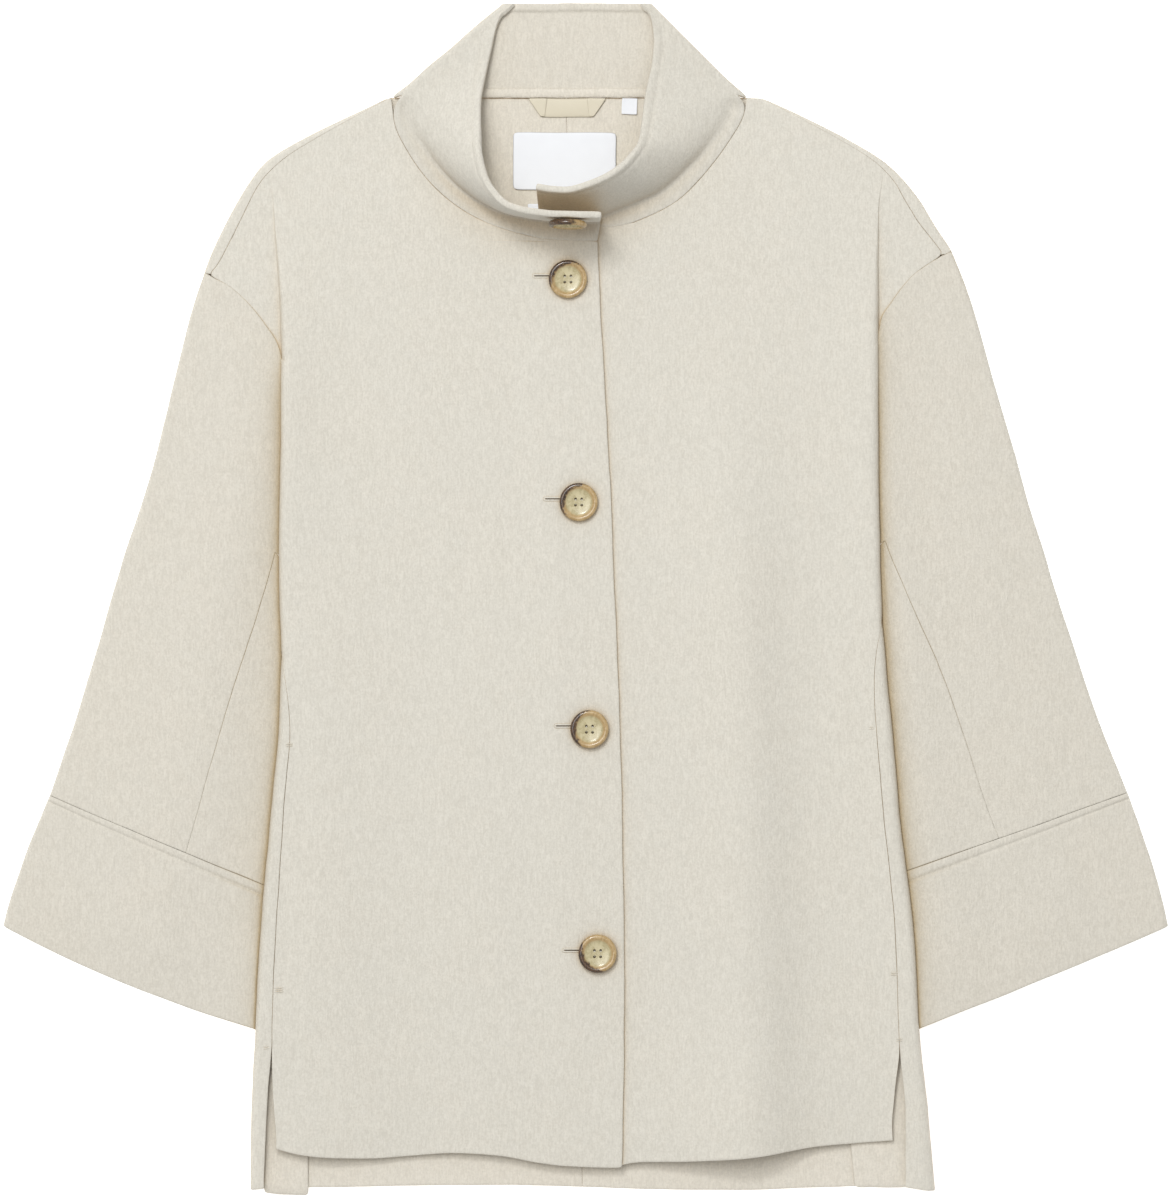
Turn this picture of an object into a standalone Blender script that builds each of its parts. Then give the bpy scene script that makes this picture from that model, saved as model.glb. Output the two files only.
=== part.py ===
"""Reversible wool jacket laid on its back, buttoned, with its stand collar up.

Frame: Z = 0 is the surface that it lies on, +Y runs from the hem to the collar and +X is to the
right as seen from above.  "Left" is the -X side.  Every size is in millimetres until a mesh is made.

Each piece is the outer face of the cloth, worked out as rows of points, and a Solidify modifier
that gives it the cloth's thickness inwards.
"""
import math

import bmesh
import bpy
from mathutils import Vector

MM = 0.001
LEFT, RIGHT = -1, 1
SIDE_NAME = {LEFT: "left", RIGHT: "right"}

CLOTH = 2.2            # double-faced wool
COLLAR_CLOTH = 3.0     # the collar band is firmer
GAP = 0.3              # between pieces at a seam
REST_TOP = 6.2         # top of a front lying on the back
SIDE_TOP = 9.4         # top of the rounded side folds
SIDE_SWELL = 45.0      # how far the side fold's roundness reaches inwards
RUN = 15.0             # flat cloth per unit of the section parameter
LAP = 44.0             # width of the front overlap
LAP_RISE = CLOTH + 1.0
LAP_EASE = 32.0        # the over front comes down to the back in this width
SHOULDER_CLEAR = 7.0   # the seam's gap widens by this factor where the shoulder slopes most
SHOULDER_STEEP, SHOULDER_TURN = 310.0, 40.0
ROLL_CLEAR = 7.0       # and by this one where the side seam rolls round the fold
ROLL_END = -90.0
COLLAR_CLEAR = 2.0     # between the back's neck edge and the folded band
SEAM_STEP = 0.06       # a last narrow step of the section, so that both sides of a seam face one way
CROWN = 34.0           # width of the strip of front that is meshed finely at the side
CROWN_SHARE = 0.6      # and at most this share of the front's width
FOLD_EASE = 12.0       # from a rounded fold to the flat of the front
RIDGE_EASE = 25.0      # the ridges die away this near the side
SLEEVE_EASE = 8.0      # from the front's height to the sleeve's
UNDERARM_EASE = 60.0   # the seam turns under the side in this length below the armhole
FLAT_FOLD = 0.02       # radius of the section's end where a seam cuts it off
STEEPEST = 2.4         # a fold that runs aslant is widened at most by this factor
MERGE = 0.02           # points of two grids nearer than this are one

NECK_Y = 371.7         # back neck seam
HEM_FRONT = -412.0
HEM_BACK = -436.5
VENT_TOP = -330.0


def smooth(t):
    """0 below 0, 1 above 1, and a smooth step between."""
    t = min(1.0, max(0.0, t))
    return t * t * (3.0 - 2.0 * t)


def spread(start, stop, count):
    """count + 1 evenly spaced numbers."""
    return [start + (stop - start) * i / count for i in range(count + 1)]


def curve(positions, values):
    """A smooth curve through the values that never overshoots them, level past its ends."""
    pairs = sorted(zip(positions, values))
    xs = [p[0] for p in pairs]
    ys = [p[1] for p in pairs]
    slopes = [(ys[i + 1] - ys[i]) / (xs[i + 1] - xs[i]) for i in range(len(xs) - 1)]
    tangents = [slopes[0]]
    for a, b in zip(slopes, slopes[1:]):
        tangents.append(0.0 if a * b <= 0.0 else 2.0 * a * b / (a + b))
    tangents.append(slopes[-1])

    def value(x):
        if x <= xs[0]:
            return ys[0]
        if x >= xs[-1]:
            return ys[-1]
        i = max(k for k in range(len(xs) - 1) if xs[k] <= x)
        h = xs[i + 1] - xs[i]
        t = (x - xs[i]) / h
        lead = (1.0 + 2.0 * t) * (1.0 - t) ** 2 * ys[i] + t * (1.0 - t) ** 2 * h * tangents[i]
        return lead + t * t * (3.0 - 2.0 * t) * ys[i + 1] - t * t * (1.0 - t) * h * tangents[i + 1]

    return value


def columns(names, *rows):
    """A table whose first column is a position: each other column becomes a curve along it."""
    positions = [row[0] for row in rows]
    table = {}
    for i, name in enumerate(names.split()[1:], 1):
        table[name] = curve(positions, [row[i] for row in rows])
    return table


# Outlines.  out is the distance from x = 0 to the side, inset is how far inside that edge the
# seam shows on top; a negative inset is a seam that has rolled round to the underside.
SHOULDER = {
    LEFT: columns("y out inset", (371, 146, 1), (355, 181, 6), (340, 211, 9), (325, 236, 11), (310, 248, 8),
                  (296, 257, 9), (273, 269, 10), (251, 279, 9), (242, 282, 5)),
    RIGHT: columns("y out inset", (373, 127, 1), (355, 166, 5), (340, 195, 6), (325, 220, 7), (310, 236, 8),
                   (296, 247, 11), (281, 256, 11), (266, 266, 9), (258, 271, 8)),
}
ARMHOLE = {
    LEFT: columns("y out", (242, 282), (239, 277), (232, 263), (219, 249), (203, 237), (190, 229),
                  (177, 226)),
    RIGHT: columns("y out", (258, 271), (254, 263), (250, 256), (239, 241), (221, 227), (207, 219),
                   (188, 217)),
}
ARMHOLE_TOP = {LEFT: 242.0, RIGHT: 258.0}
ARMHOLE_LOW = {LEFT: 177.0, RIGHT: 188.0}
UNDERARM_Y = {LEFT: 32.0, RIGHT: 40.0}
SIDE = {
    LEFT: columns("y out inset", (177, 225.5, 0), (125, 225.5, 0), (40, 227, -6), (0, 226.5, -6),
                  (-41, 225.5, 0), (-74, 226, 6), (-108, 228, 9), (-148, 232, 9.3), (-193, 236, 10.4),
                  (-267, 242, 12), (-330, 245, 13), (-370, 247, 16), (-407, 248, 19), (-437, 248, 19)),
    RIGHT: columns("y out inset", (188, 217, 0), (125, 217, 0), (44, 218, -6), (14, 218.5, -6),
                   (-14, 220, -1), (-36, 221.5, 6), (-62, 223.5, 10), (-95, 227, 12), (-163, 233, 12),
                   (-245, 243, 14), (-330, 248, 16), (-370, 253, 24), (-407, 256, 29), (-437, 259, 29)),
}
# The free edge of the back panel below the vent, where it no longer meets the front.
VENT_BACK = {
    LEFT: columns("y inset", (-330, 13), (-370, 12), (-437, 10)),
    RIGHT: columns("y inset", (-330, 16), (-370, 17), (-437, 22)),
}
# The pleat that the side of the front folds into below the shoulder.
PLEAT = {
    LEFT: columns("y out", (333, 239), (312, 233), (288, 231), (224, 227), (177, 225)),
    RIGHT: columns("y out", (333, 225), (306, 219), (287, 217), (188, 217)),
}
PLEAT_START, PLEAT_FULL = 333.0, 192.0
NECK = {
    LEFT: columns("y x", (368, -137), (351, -130), (333, -121), (311, -103), (293, -80), (282, -60),
                  (276, -37), (273.5, -11), (272, 9)),
    RIGHT: columns("y x", (375, 113), (361, 108), (347, 102), (330, 91), (314, 79), (303, 67), (292, 49),
                   (286, 34), (282, 18), (279, 0), (277, -34)),
}
NECK_LOW = {LEFT: 271.8, RIGHT: 277.0}     # where the neck edge ends and the front's free edge starts
LAP_EDGE = columns("y x", (272, 9), (251, 9.5), (222, 11), (148, 15), (74, 19), (0, 22), (-74, 25),
                   (-148, 27), (-296, 29), (-421, 27))["x"]
HEM_LINE = columns("x y", (-229, -407), (-194, -413), (-162, -414), (-100, -410), (-62, -412),
                   (-36, -417), (-4, -420), (25, -421), (31, -417), (76, -416), (124, -413), (173, -405),
                   (225, -401))["y"]
CENTRE_BACK = columns("y x", (372, -14), (-437, -2))["x"]

# Where the body is cut across: rows of the shoulder, of the armhole below its top, and of the side.
SHOULDER_ROWS = (366.0, 357.0, 346.0, 333.0, 320.0, 307.0, 295.0, 285.0, 280.0, 276.0, 273.0, 271.5, 262.0)
ARMHOLE_ROWS = (0.0, 3.0, 10.0, 22.0, 36.0)
SIDE_ROWS = (18.0, 0.0, -11.0, -19.0, -27.0, -41.0, -57.0, -74.0, -108.0, -160.0, -230.0, -290.0, VENT_TOP,
             -368.0)
FLAT_STEPS, FOLD_STEPS = 6, 5              # faces over the flat of a section, and round its fold
FOLD_WEIGHT, FLAT_WEIGHT = 3.0, 0.7        # share of a strip's points that the fold and the flat get

# Soft lengthwise ridges in both fronts.
RIDGES = (
    {"x_hem": -108.0, "x_top": -122.0, "width": 32.0, "height": 2.4, "top": 160.0},
    {"x_hem": 62.0, "x_top": 48.0, "width": 30.0, "height": 2.8, "top": 270.0},
    {"x_hem": 186.0, "x_top": 150.0, "width": 34.0, "height": 2.6, "top": 300.0},
)

# Sleeves.  Row curves run from the outer fold to the inner fold.
SLEEVE_TOP = 6.2
SLEEVE_RIDGE = {"height": 2.2, "at": 0.42, "width": 0.22, "ease": 0.6, "end": 2.2}
SLEEVE_LENGTH, SLEEVE_WIDTH = 390.0, 160.0
SLEEVE_ROWS = (0.12, 0.32, 0.55, 0.78, 1.0)     # below the underarm
SLEEVE_WRAP = (1.3, 1.15)                  # above the underarm the top panel ends round the inner fold
SLEEVE_LIP, SLEEVE_STEP = 0.02, 0.05       # first two steps of the top panel from its seam
CUFF_ROWS = (1.0, 1.35, 1.7, 2.0)
CUFF_AT = {
    LEFT: {"outer": (-397.0, -145.0), "inner": (-239.5, -212.0)},
    RIGHT: {"outer": (401.0, -143.0), "inner": (241.0, -201.0)},
}
CUFF_END = {
    LEFT: {"outer": (-431.3, -242.0), "inner": (-248.5, -318.5)},
    RIGHT: {"outer": (431.3, -242.0), "inner": (250.5, -318.0)},
}
CUFF_BELLY = {LEFT: 5.0, RIGHT: 1.0}       # how far the cuff's free edge curves out
SLEEVE_FOLD = {
    LEFT: columns("y out", (242, 282), (222, 289), (185, 299), (148, 308), (111, 317), (74, 328),
                  (37, 340), (0, 351), (-37, 362), (-74, 373), (-111, 385), (-145, 397), (-185, 413),
                  (-222, 426), (-242, 431.3)),
    RIGHT: columns("y out", (258, 271), (222, 285), (185, 296), (148, 306), (111, 317), (74, 327),
                   (37, 339), (0, 350), (-37, 362), (-74, 374), (-111, 388), (-143, 401), (-185, 416),
                   (-222, 427), (-242, 431.3)),
}
FRONT_SEAM_AT = {
    LEFT: columns("v share", (0.37, 0.97), (0.5, 0.87), (0.7, 0.74), (1, 0.64)),
    RIGHT: columns("v share", (0.37, 0.97), (0.5, 0.85), (0.7, 0.70), (1, 0.59)),
}
BACK_SEAM_AT = {
    LEFT: columns("v share", (0, 0.72), (1, 0.64)),
    RIGHT: columns("v share", (0, 0.72), (1, 0.59)),
}

# Collar.  The back of the band lies flat; its sides fold over, and the two wings stand up.
COLLAR_TOP = 441.5
COLLAR_FOLD = {
    LEFT: columns("y x", (442, -60), (433, -71), (425, -81), (410, -98), (396, -115), (381, -131),
                  (372, -144)),
    RIGHT: columns("y x", (442, 48), (433, 57), (418, 72), (403, 87), (388, 102), (379, 112),
                   (372, 121)),
}
COLLAR_RIM = {
    LEFT: columns("y x z", (442, -53, 8.4), (436, -62, 8.8), (399, -71, 13), (377, -76, 20),
                  (372, -77, 22)),
    RIGHT: columns("y x z", (442, 41, 8.4), (436, 47, 8.8), (399, 51, 12), (380, 45, 18),
                   (372, 41, 20)),
}
COLLAR_ROLL = columns("y r", (442, 3.7), (372, 4.7))["r"]
COLLAR_ROWS = (COLLAR_TOP, 436.0, 424.0, 408.0, 390.0, NECK_Y + COLLAR_CLEAR)
RIM_ROOM, RIM_NARROW = 0.8, 1.2    # the free edge stays this far from the fold, and turns back this far
RIM_CURL = 1.6                     # how late the folded side rises to its free edge
WING_LEAN = 3.0                    # how far a standing wing bows outwards
WING_UPRIGHT = 40.0                # where its free edge is higher than this
# One row for each line from the neck seam up to the band's free edge.
WING = {
    LEFT: (
        {"seam": (-142, 362), "rim": (-77.5, 363, 26), "flange": 7},
        {"seam": (-139, 345), "rim": (-78, 349, 34), "flange": 7},
        {"seam": (-121, 316), "rim": (-78.5, 327, 49), "flange": 7},
        {"seam": (-100, 295), "rim": (-73, 305, 59), "flange": 7},
        {"seam": (-74, 279), "rim": (-58, 288.5, 66), "flange": 7},
        {"seam": (-39, 268), "rim": (-32, 283, 70), "flange": 7},
        {"seam": (-14, 265.5), "rim": (-9, 283, 71), "flange": 7},
        {"seam": (9, 265), "rim": (12, 282.5, 72), "flange": 7},
    ),
    RIGHT: (
        {"seam": (118, 364), "rim": (42, 362, 24), "flange": 7},
        {"seam": (114, 352), "rim": (42, 350, 31), "flange": 7},
        {"seam": (98, 327), "rim": (39, 336, 45), "flange": 7},
        {"seam": (72, 298), "rim": (31, 323, 56), "flange": 7},
        {"seam": (50, 285), "rim": (20, 313, 62), "flange": 7},
        {"seam": (28, 277), "rim": (6, 306, 66), "flange": 6},
        {"seam": (9, 275.6), "rim": (-10, 301, 67), "flange": 3},
        {"seam": (-14, 278), "rim": (-25, 301, 67), "flange": 2},
        {"seam": (-34, 279), "rim": (-37, 303, 67), "flange": 2},
    ),
}

# Trim.
BUTTON_RADIUS = 14.2
BUTTON_THICK = 4.6
BUTTONS = ((-13.0, 237.0), (-5.0, 72.0), (3.0, -96.0), (9.0, -262.0))
BUTTON_PROFILE = ((0.0, 0.0), (0.86, 0.0), (1.0, 0.35), (1.0, 0.62), (0.93, 1.0), (0.8, 0.93), (0.68, 0.66),
                  (0.0, 0.6))      # shares of radius and thickness, from the back to the dished face
BUTTON_STEPS = 24
BUTTON_EDGE = math.radians(40)
SEAT_POINTS = 12                   # places round the button where the cloth below is measured
COLLAR_BUTTON = {"x": -13.0, "height_share": 0.74, "clear": 1.5}
LABEL = {"low": (-54.0, 303.0), "high": (23.0, 346.0), "thick": 0.6}
SIZE_TAB = {"low": (27.0, 359.0), "high": (38.5, 371.0), "thick": 0.5}
CARE_TAB = {"low": (-43.0, 282.5), "high": (-8.0, 296.5), "thick": 0.5}
LOOP = {"top": (-43.0, 16.0), "bottom": (-33.0, 6.0), "y": (371.2, 357.0), "thick": 1.4}
FACING = {LEFT: 33.0, RIGHT: 50.0}      # width
FACING_END = {LEFT: -441.5, RIGHT: -435.5}
FACING_CLOTH = 1.7
FACING_START = 10.0
FACING_MIDDLE = -380.0

WOOL = ((0.80, 0.765, 0.685, 1.0), 0.9)
HORN = ((0.50, 0.40, 0.22, 1.0), 0.3)
WHITE = ((0.90, 0.90, 0.90, 1.0), 0.7)
SATIN = ((0.84, 0.80, 0.70, 1.0), 0.5)


def material(name, finish):
    colour, roughness = finish
    made = bpy.data.materials.new(name)
    made.use_nodes = True
    shader = made.node_tree.nodes["Principled BSDF"]
    shader.inputs["Base Color"].default_value = colour
    shader.inputs["Roughness"].default_value = roughness
    made.diffuse_color = colour
    return made


def add_object(name, mesh, finish):
    made = bpy.data.objects.new(name, mesh)
    made.data.materials.append(material(name, finish))
    bpy.context.scene.collection.objects.link(made)
    return made


def cloth(name, grids, thickness, finish=WOOL, close_rows=False):
    """A wall of cloth whose outer face is one or more grids of points that share their edges."""
    shape = bmesh.new()
    for grid in grids:
        rows = [[shape.verts.new(Vector(p) * MM) for p in row] for row in grid]
        for above, below in zip(rows, rows[1:]):
            last = len(above) if close_rows else len(above) - 1
            for i in range(last):
                j = (i + 1) % len(above)
                shape.faces.new((above[i], above[j], below[j], below[i]))
    bmesh.ops.remove_doubles(shape, verts=shape.verts, dist=MERGE * MM)
    bmesh.ops.recalc_face_normals(shape, faces=shape.faces)
    middle = REST_TOP / 2 * MM
    outward = sum(f.normal.z * f.calc_area() * (f.calc_center_median().z - middle) for f in shape.faces)
    if outward < 0.0:
        bmesh.ops.reverse_faces(shape, faces=shape.faces)
    mesh = bpy.data.meshes.new(name)
    shape.to_mesh(mesh)
    shape.free()
    mesh.shade_smooth()
    made = add_object(name, mesh, finish)
    wall = made.modifiers.new("thickness", "SOLIDIFY")
    wall.thickness = thickness * MM
    wall.offset = -1.0
    wall.use_even_offset = True
    return made


# The body.

def ridge_height(x, y):
    total = 0.0
    for ridge in RIDGES:
        down = smooth((ridge["top"] - y) / (ridge["top"] - HEM_FRONT))
        centre = ridge["x_top"] + (ridge["x_hem"] - ridge["x_top"]) * down
        total += ridge["height"] * down * math.exp(-(((x - centre) / ridge["width"]) ** 2))
    return total


def zone(side, y):
    if y > ARMHOLE_TOP[side]:
        return "shoulder"
    return "armhole" if y > ARMHOLE_LOW[side] else "side"


def outline(side, y):
    """Distance of the edge, radius of its fold, and the fold's width in a section across."""
    place = zone(side, y)
    if place == "armhole":
        return ARMHOLE[side]["out"](y), SLEEVE_TOP / 2, FLAT_FOLD
    table = SHOULDER if place == "shoulder" else SIDE
    roll = (SLEEVE_TOP if place == "shoulder" else SIDE_TOP) / 2
    out = table[side]["out"]
    slope = (out(y + 1.0) - out(y - 1.0)) / 2.0
    return out(y), roll, roll * min(STEEPEST, math.hypot(1.0, slope))


def fold_line(side, y):
    """Where the flat of the front ends: at the pleat, or lower down at the side fold."""
    return SIDE[side]["out"](y) if zone(side, y) == "side" else PLEAT[side]["out"](y)


def front_height(side, x, y):
    """Top of a front that lies on the back, without the overlap."""
    inside = fold_line(side, y) - side * x
    depth = smooth((PLEAT_START - y) / (PLEAT_START - PLEAT_FULL))
    swell = depth * (SIDE_TOP - REST_TOP) * math.exp(-((max(0.0, inside) / SIDE_SWELL) ** 2))
    calm = 1.0 - math.exp(-((max(0.0, inside) / RIDGE_EASE) ** 2))
    height = REST_TOP + swell + ridge_height(x, y) * calm
    if zone(side, y) == "side":
        return height
    return SLEEVE_TOP + (height - SLEEVE_TOP) * smooth((inside + 1.0) / SLEEVE_EASE)


def lap_height(x, y):
    """How much the over front is lifted by the under front."""
    return LAP_RISE * smooth((x - LAP_EDGE(y) + LAP + LAP_EASE) / LAP_EASE)


def body_point(side, y, s):
    """A point of the body's outer face.

    s > 1 is the top, s from 1 to -1 the rounded fold, s < -1 the underside.
    """
    out, roll, width = outline(side, y)
    if abs(s) < 1.0:
        turn = s * math.pi / 2
        return side * (out - width * (1.0 - math.cos(turn))), y, roll * (1.0 + math.sin(turn))
    inset = width + (abs(s) - 1.0) * RUN
    x = side * (out - inset)
    if s < 0.0:
        return x, y, 0.0
    return x, y, 2 * roll + (front_height(side, x, y) - 2 * roll) * smooth((inset - width) / FOLD_EASE)


def parameter(side, y, inset):
    """The section parameter of a place that many millimetres inside the edge."""
    width = outline(side, y)[2]
    reach = abs(inset)
    s = math.acos(1.0 - reach / width) / (math.pi / 2) if reach < width else 1.0 + (reach - width) / RUN
    return math.copysign(s, inset)


def seam_parameter(side, y, shift):
    """Where front and back meet, moved along the cloth by shift millimetres towards the front."""
    place = zone(side, y)
    if place != "shoulder" and y > UNDERARM_Y[side] and shift < 0:
        return -1.0
    if place == "armhole":
        top = ARMHOLE_TOP[side]
        seam_end = SHOULDER[side]["out"](top) - SHOULDER[side]["inset"](top)
        return parameter(side, y, max(1.5 * FLAT_FOLD, outline(side, y)[0] - seam_end))
    if place == "side" and y > UNDERARM_Y[side]:
        return 1.0 - smooth((ARMHOLE_LOW[side] - y) / UNDERARM_EASE)
    if place == "side" and y < VENT_TOP and shift < 0:
        inset = VENT_BACK[side]["inset"](y)
    else:
        inset = (SHOULDER if place == "shoulder" else SIDE)[side]["inset"](y)
    s = parameter(side, y, inset)
    if place == "shoulder":
        shift *= 1.0 + SHOULDER_CLEAR * smooth((y - SHOULDER_STEEP) / SHOULDER_TURN)
    elif y > ROLL_END:
        shift *= ROLL_CLEAR
    return s + shift / (RUN if abs(s) > 1.0 else outline(side, y)[1] * math.pi / 2)


def strip(first, last, count):
    """Section parameters from first to last, closer together round the fold and at the end."""
    def weight(s):
        in_fold = max(-1.0, min(1.0, s))
        return FOLD_WEIGHT * in_fold + FLAT_WEIGHT * (s - in_fold)

    made = []
    for w in spread(weight(first), weight(last), count):
        if abs(w) <= FOLD_WEIGHT:
            made.append(w / FOLD_WEIGHT)
        else:
            made.append(math.copysign(1.0 + (abs(w) - FOLD_WEIGHT) / FLAT_WEIGHT, w))
    return made[:-1] + [last - math.copysign(SEAM_STEP, last - first), last]


def armhole_rows(side):
    low = ARMHOLE_LOW[side]
    return [ARMHOLE_TOP[side] - below for below in ARMHOLE_ROWS] + [low + 12.0, low]


def body_rows(side, hem):
    top, low = ARMHOLE_TOP[side], ARMHOLE_LOW[side]
    shoulder = [y for y in SHOULDER_ROWS if y > top + 2.0] + [top + 2 * GAP]
    upper_side = [low - 15.0, low - 32.0, 125.0, 78.0, UNDERARM_Y[side]]
    return shoulder + armhole_rows(side) + upper_side + list(SIDE_ROWS) + [hem]


def crown_inset(side, y, room):
    """How far in from the edge the finely meshed strip starts."""
    edge = outline(side, y)[0]
    return min(edge - fold_line(side, y) + CROWN if y < PLEAT_START else CROWN, room * CROWN_SHARE)


def hem_shift(point):
    """Moves the lowest rows of a front onto its own hem line."""
    x, y, z = point
    share = smooth((VENT_TOP - y) / (VENT_TOP - HEM_FRONT))
    return x, y + (HEM_LINE(x) - HEM_FRONT) * share, z


def front(side, name):
    over = side == LEFT
    grid = []
    for y in body_rows(side, HEM_FRONT):
        if y > NECK_LOW[side]:
            start = NECK[side]["x"](y)
        else:
            start = LAP_EDGE(y) - (0.0 if over else LAP)
        edge = outline(side, y)[0]
        inset = crown_inset(side, y, edge - side * start)
        row = []
        for x in spread(start, side * (edge - inset), FLAT_STEPS)[:-1]:
            row.append((x, y, front_height(side, x, y) + (lap_height(x, y) if over else 0.0)))
        for s in strip(parameter(side, y, inset), seam_parameter(side, y, GAP / 2), FOLD_STEPS):
            row.append(body_point(side, y, s))
        grid.append([hem_shift(p) for p in row])
    return cloth(name, [grid], CLOTH)


def back(side, name):
    flat, wrapped = [], []
    for y in [NECK_Y] + body_rows(side, HEM_BACK):
        last = seam_parameter(side, y, -GAP / 2)
        if zone(side, y) == "shoulder":
            wrapped.append([body_point(side, y, s) for s in strip(-1.0, last, FOLD_STEPS)])
            last = -1.0
        row = [(CENTRE_BACK(y) + side * GAP / 2, y, 0.0)]
        flat.append(row + [body_point(side, y, s) for s in strip(-1.0 - CROWN / RUN, last, FOLD_STEPS)])
    return cloth(name, [flat, wrapped], CLOTH)


# The sleeves.

def armhole_curve(side, share):
    """The sleeve's edge at the armhole, by share of its length from the shoulder point down."""
    line = [Vector((ARMHOLE[side]["out"](y) + 2 * GAP, y - 2 * GAP)) for y in armhole_rows(side)]
    lengths = [0.0]
    for a, b in zip(line, line[1:]):
        lengths.append(lengths[-1] + (b - a).length)
    along = share * lengths[-1]
    i = max(k for k in range(len(line) - 1) if lengths[k] <= along + 1e-9)
    return line[i].lerp(line[i + 1], (along - lengths[i]) / (lengths[i + 1] - lengths[i]))


def straight(side, ends, share, belly=0.0):
    """A row straight across the sleeve, or one whose middle lies belly further down."""
    a = Vector((side * ends[side]["outer"][0], ends[side]["outer"][1]))
    b = Vector((side * ends[side]["inner"][0], ends[side]["inner"][1]))
    down = Vector((a.y - b.y, b.x - a.x)).normalized()
    if down.y > 0.0:
        down = -down
    return a.lerp(b, share) + down * belly * 4.0 * share * (1.0 - share)


def sleeve_plan(side, v, share):
    """A place in the sleeve's plan: v is 0 at the armhole, 1 at the cuff seam, 2 at the cuff's edge."""
    if v > 1.0:
        below = straight(side, CUFF_END, share, CUFF_BELLY[side])
        place = straight(side, CUFF_AT, share).lerp(below, v - 1.0)
        ends = [straight(side, CUFF_AT, f).lerp(straight(side, CUFF_END, f), v - 1.0) for f in (0.0, 1.0)]
    else:
        first = [armhole_curve(side, f) for f in (0.0, 1.0)]
        ends = [first[f].lerp(straight(side, CUFF_AT, float(f)), v) for f in (0, 1)]
        bow = armhole_curve(side, share) - first[0].lerp(first[1], share)
        place = ends[0].lerp(ends[1], share) + bow * (1.0 - v) ** 2
    place.x += (SLEEVE_FOLD[side]["out"](ends[0].y) - ends[0].x) * (1.0 - share) ** 2
    if ends[1].y > CUFF_AT[side]["inner"][1]:
        place.x += (SIDE[side]["out"](ends[1].y) + 2 * GAP - ends[1].x) * share ** 2
    return place


def underarm_row(side):
    """Where, between armhole and cuff, the sleeve's inner fold begins."""
    low, end = ARMHOLE_LOW[side], CUFF_AT[side]["inner"][1]
    return (low - UNDERARM_Y[side]) / (low - end)


def sleeve_height(side, v, share):
    """Top of the sleeve: level at its folds, with one soft ridge down its length."""
    ridge = SLEEVE_RIDGE
    along = smooth(v / ridge["ease"]) * smooth((ridge["end"] - v) / ridge["ease"])
    across = math.exp(-(((share - ridge["at"]) / ridge["width"]) ** 2))
    level = math.sin(math.pi * min(1.0, max(0.0, share))) ** 0.5
    return SLEEVE_TOP + ridge["height"] * along * across * level


def sleeve_point(side, v, u):
    """A point of the sleeve's outer face.

    u from 0 to 1 crosses the top from the outer to the inner fold, 1 to 2 turns round the inner
    fold, 2 to 3 crosses the underside and 3 to 4 turns round the outer fold.
    """
    roll = SLEEVE_TOP / 2
    margin = roll / (sleeve_plan(side, v, 0.0) - sleeve_plan(side, v, 1.0)).length
    flat = 1.0 - 2 * margin
    u = u % 4.0
    if u <= 1.0:
        share = margin + u * flat
        height = sleeve_height(side, v, u)
    elif u < 2.0:
        turn = math.pi / 2 * (3.0 - 2.0 * u)
        share = 1.0 - margin * (1.0 - math.cos(turn))
        height = roll * (1.0 + math.sin(turn))
    elif u <= 3.0:
        share = 1.0 - margin - (u - 2.0) * flat
        height = 0.0
    else:
        turn = math.pi / 2 * (2.0 * u - 7.0)
        share = margin * (1.0 - math.cos(turn))
        height = roll * (1.0 + math.sin(turn))
    place = sleeve_plan(side, v, share)
    return side * place.x, place.y, height


def sleeve(side):
    name = SIDE_NAME[side]
    start = underarm_row(side)
    seam_gap = GAP / 2 / SLEEVE_WIDTH
    rows = spread(0.0, start, 3) + [start + (1.0 - start) * t for t in SLEEVE_ROWS]
    top, fold, below = [], [], []
    for v in rows:
        v = min(v, 1.0 - 2 * GAP / SLEEVE_LENGTH)
        folded = v > start - MERGE / SLEEVE_LENGTH
        front_seam = FRONT_SEAM_AT[side]["share"](v) - 2 * seam_gap
        back_seam = 3.0 - BACK_SEAM_AT[side]["share"](v)
        edge = [front_seam, front_seam - SLEEVE_LIP] if folded else list(SLEEVE_WRAP)
        path = edge + spread(min(1.0, edge[-1] - SLEEVE_STEP), 0.0, 3) + spread(4.0, 3.0, 4)[1:]
        top.append([sleeve_point(side, v, u) for u in path + spread(3.0, back_seam + seam_gap, 2)[1:]])
        below.append([sleeve_point(side, v, u) for u in spread(2.0, back_seam - seam_gap, 2)])
        if folded:
            path = spread(front_seam + 2 * seam_gap, 1.0, 2) + spread(1.0, 2.0, 4)[1:]
            fold.append([sleeve_point(side, v, u) for u in path])
    cloth("sleeve_top_" + name, [top], CLOTH)
    cloth("sleeve_under_" + name, [fold, below], CLOTH)


def cuff(side):
    grid = [[sleeve_point(side, v, u) for u in spread(0.0, 4.0, 16)[:-1]] for v in CUFF_ROWS]
    cloth("cuff_" + SIDE_NAME[side], [grid], CLOTH, close_rows=True)


# The collar.

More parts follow.
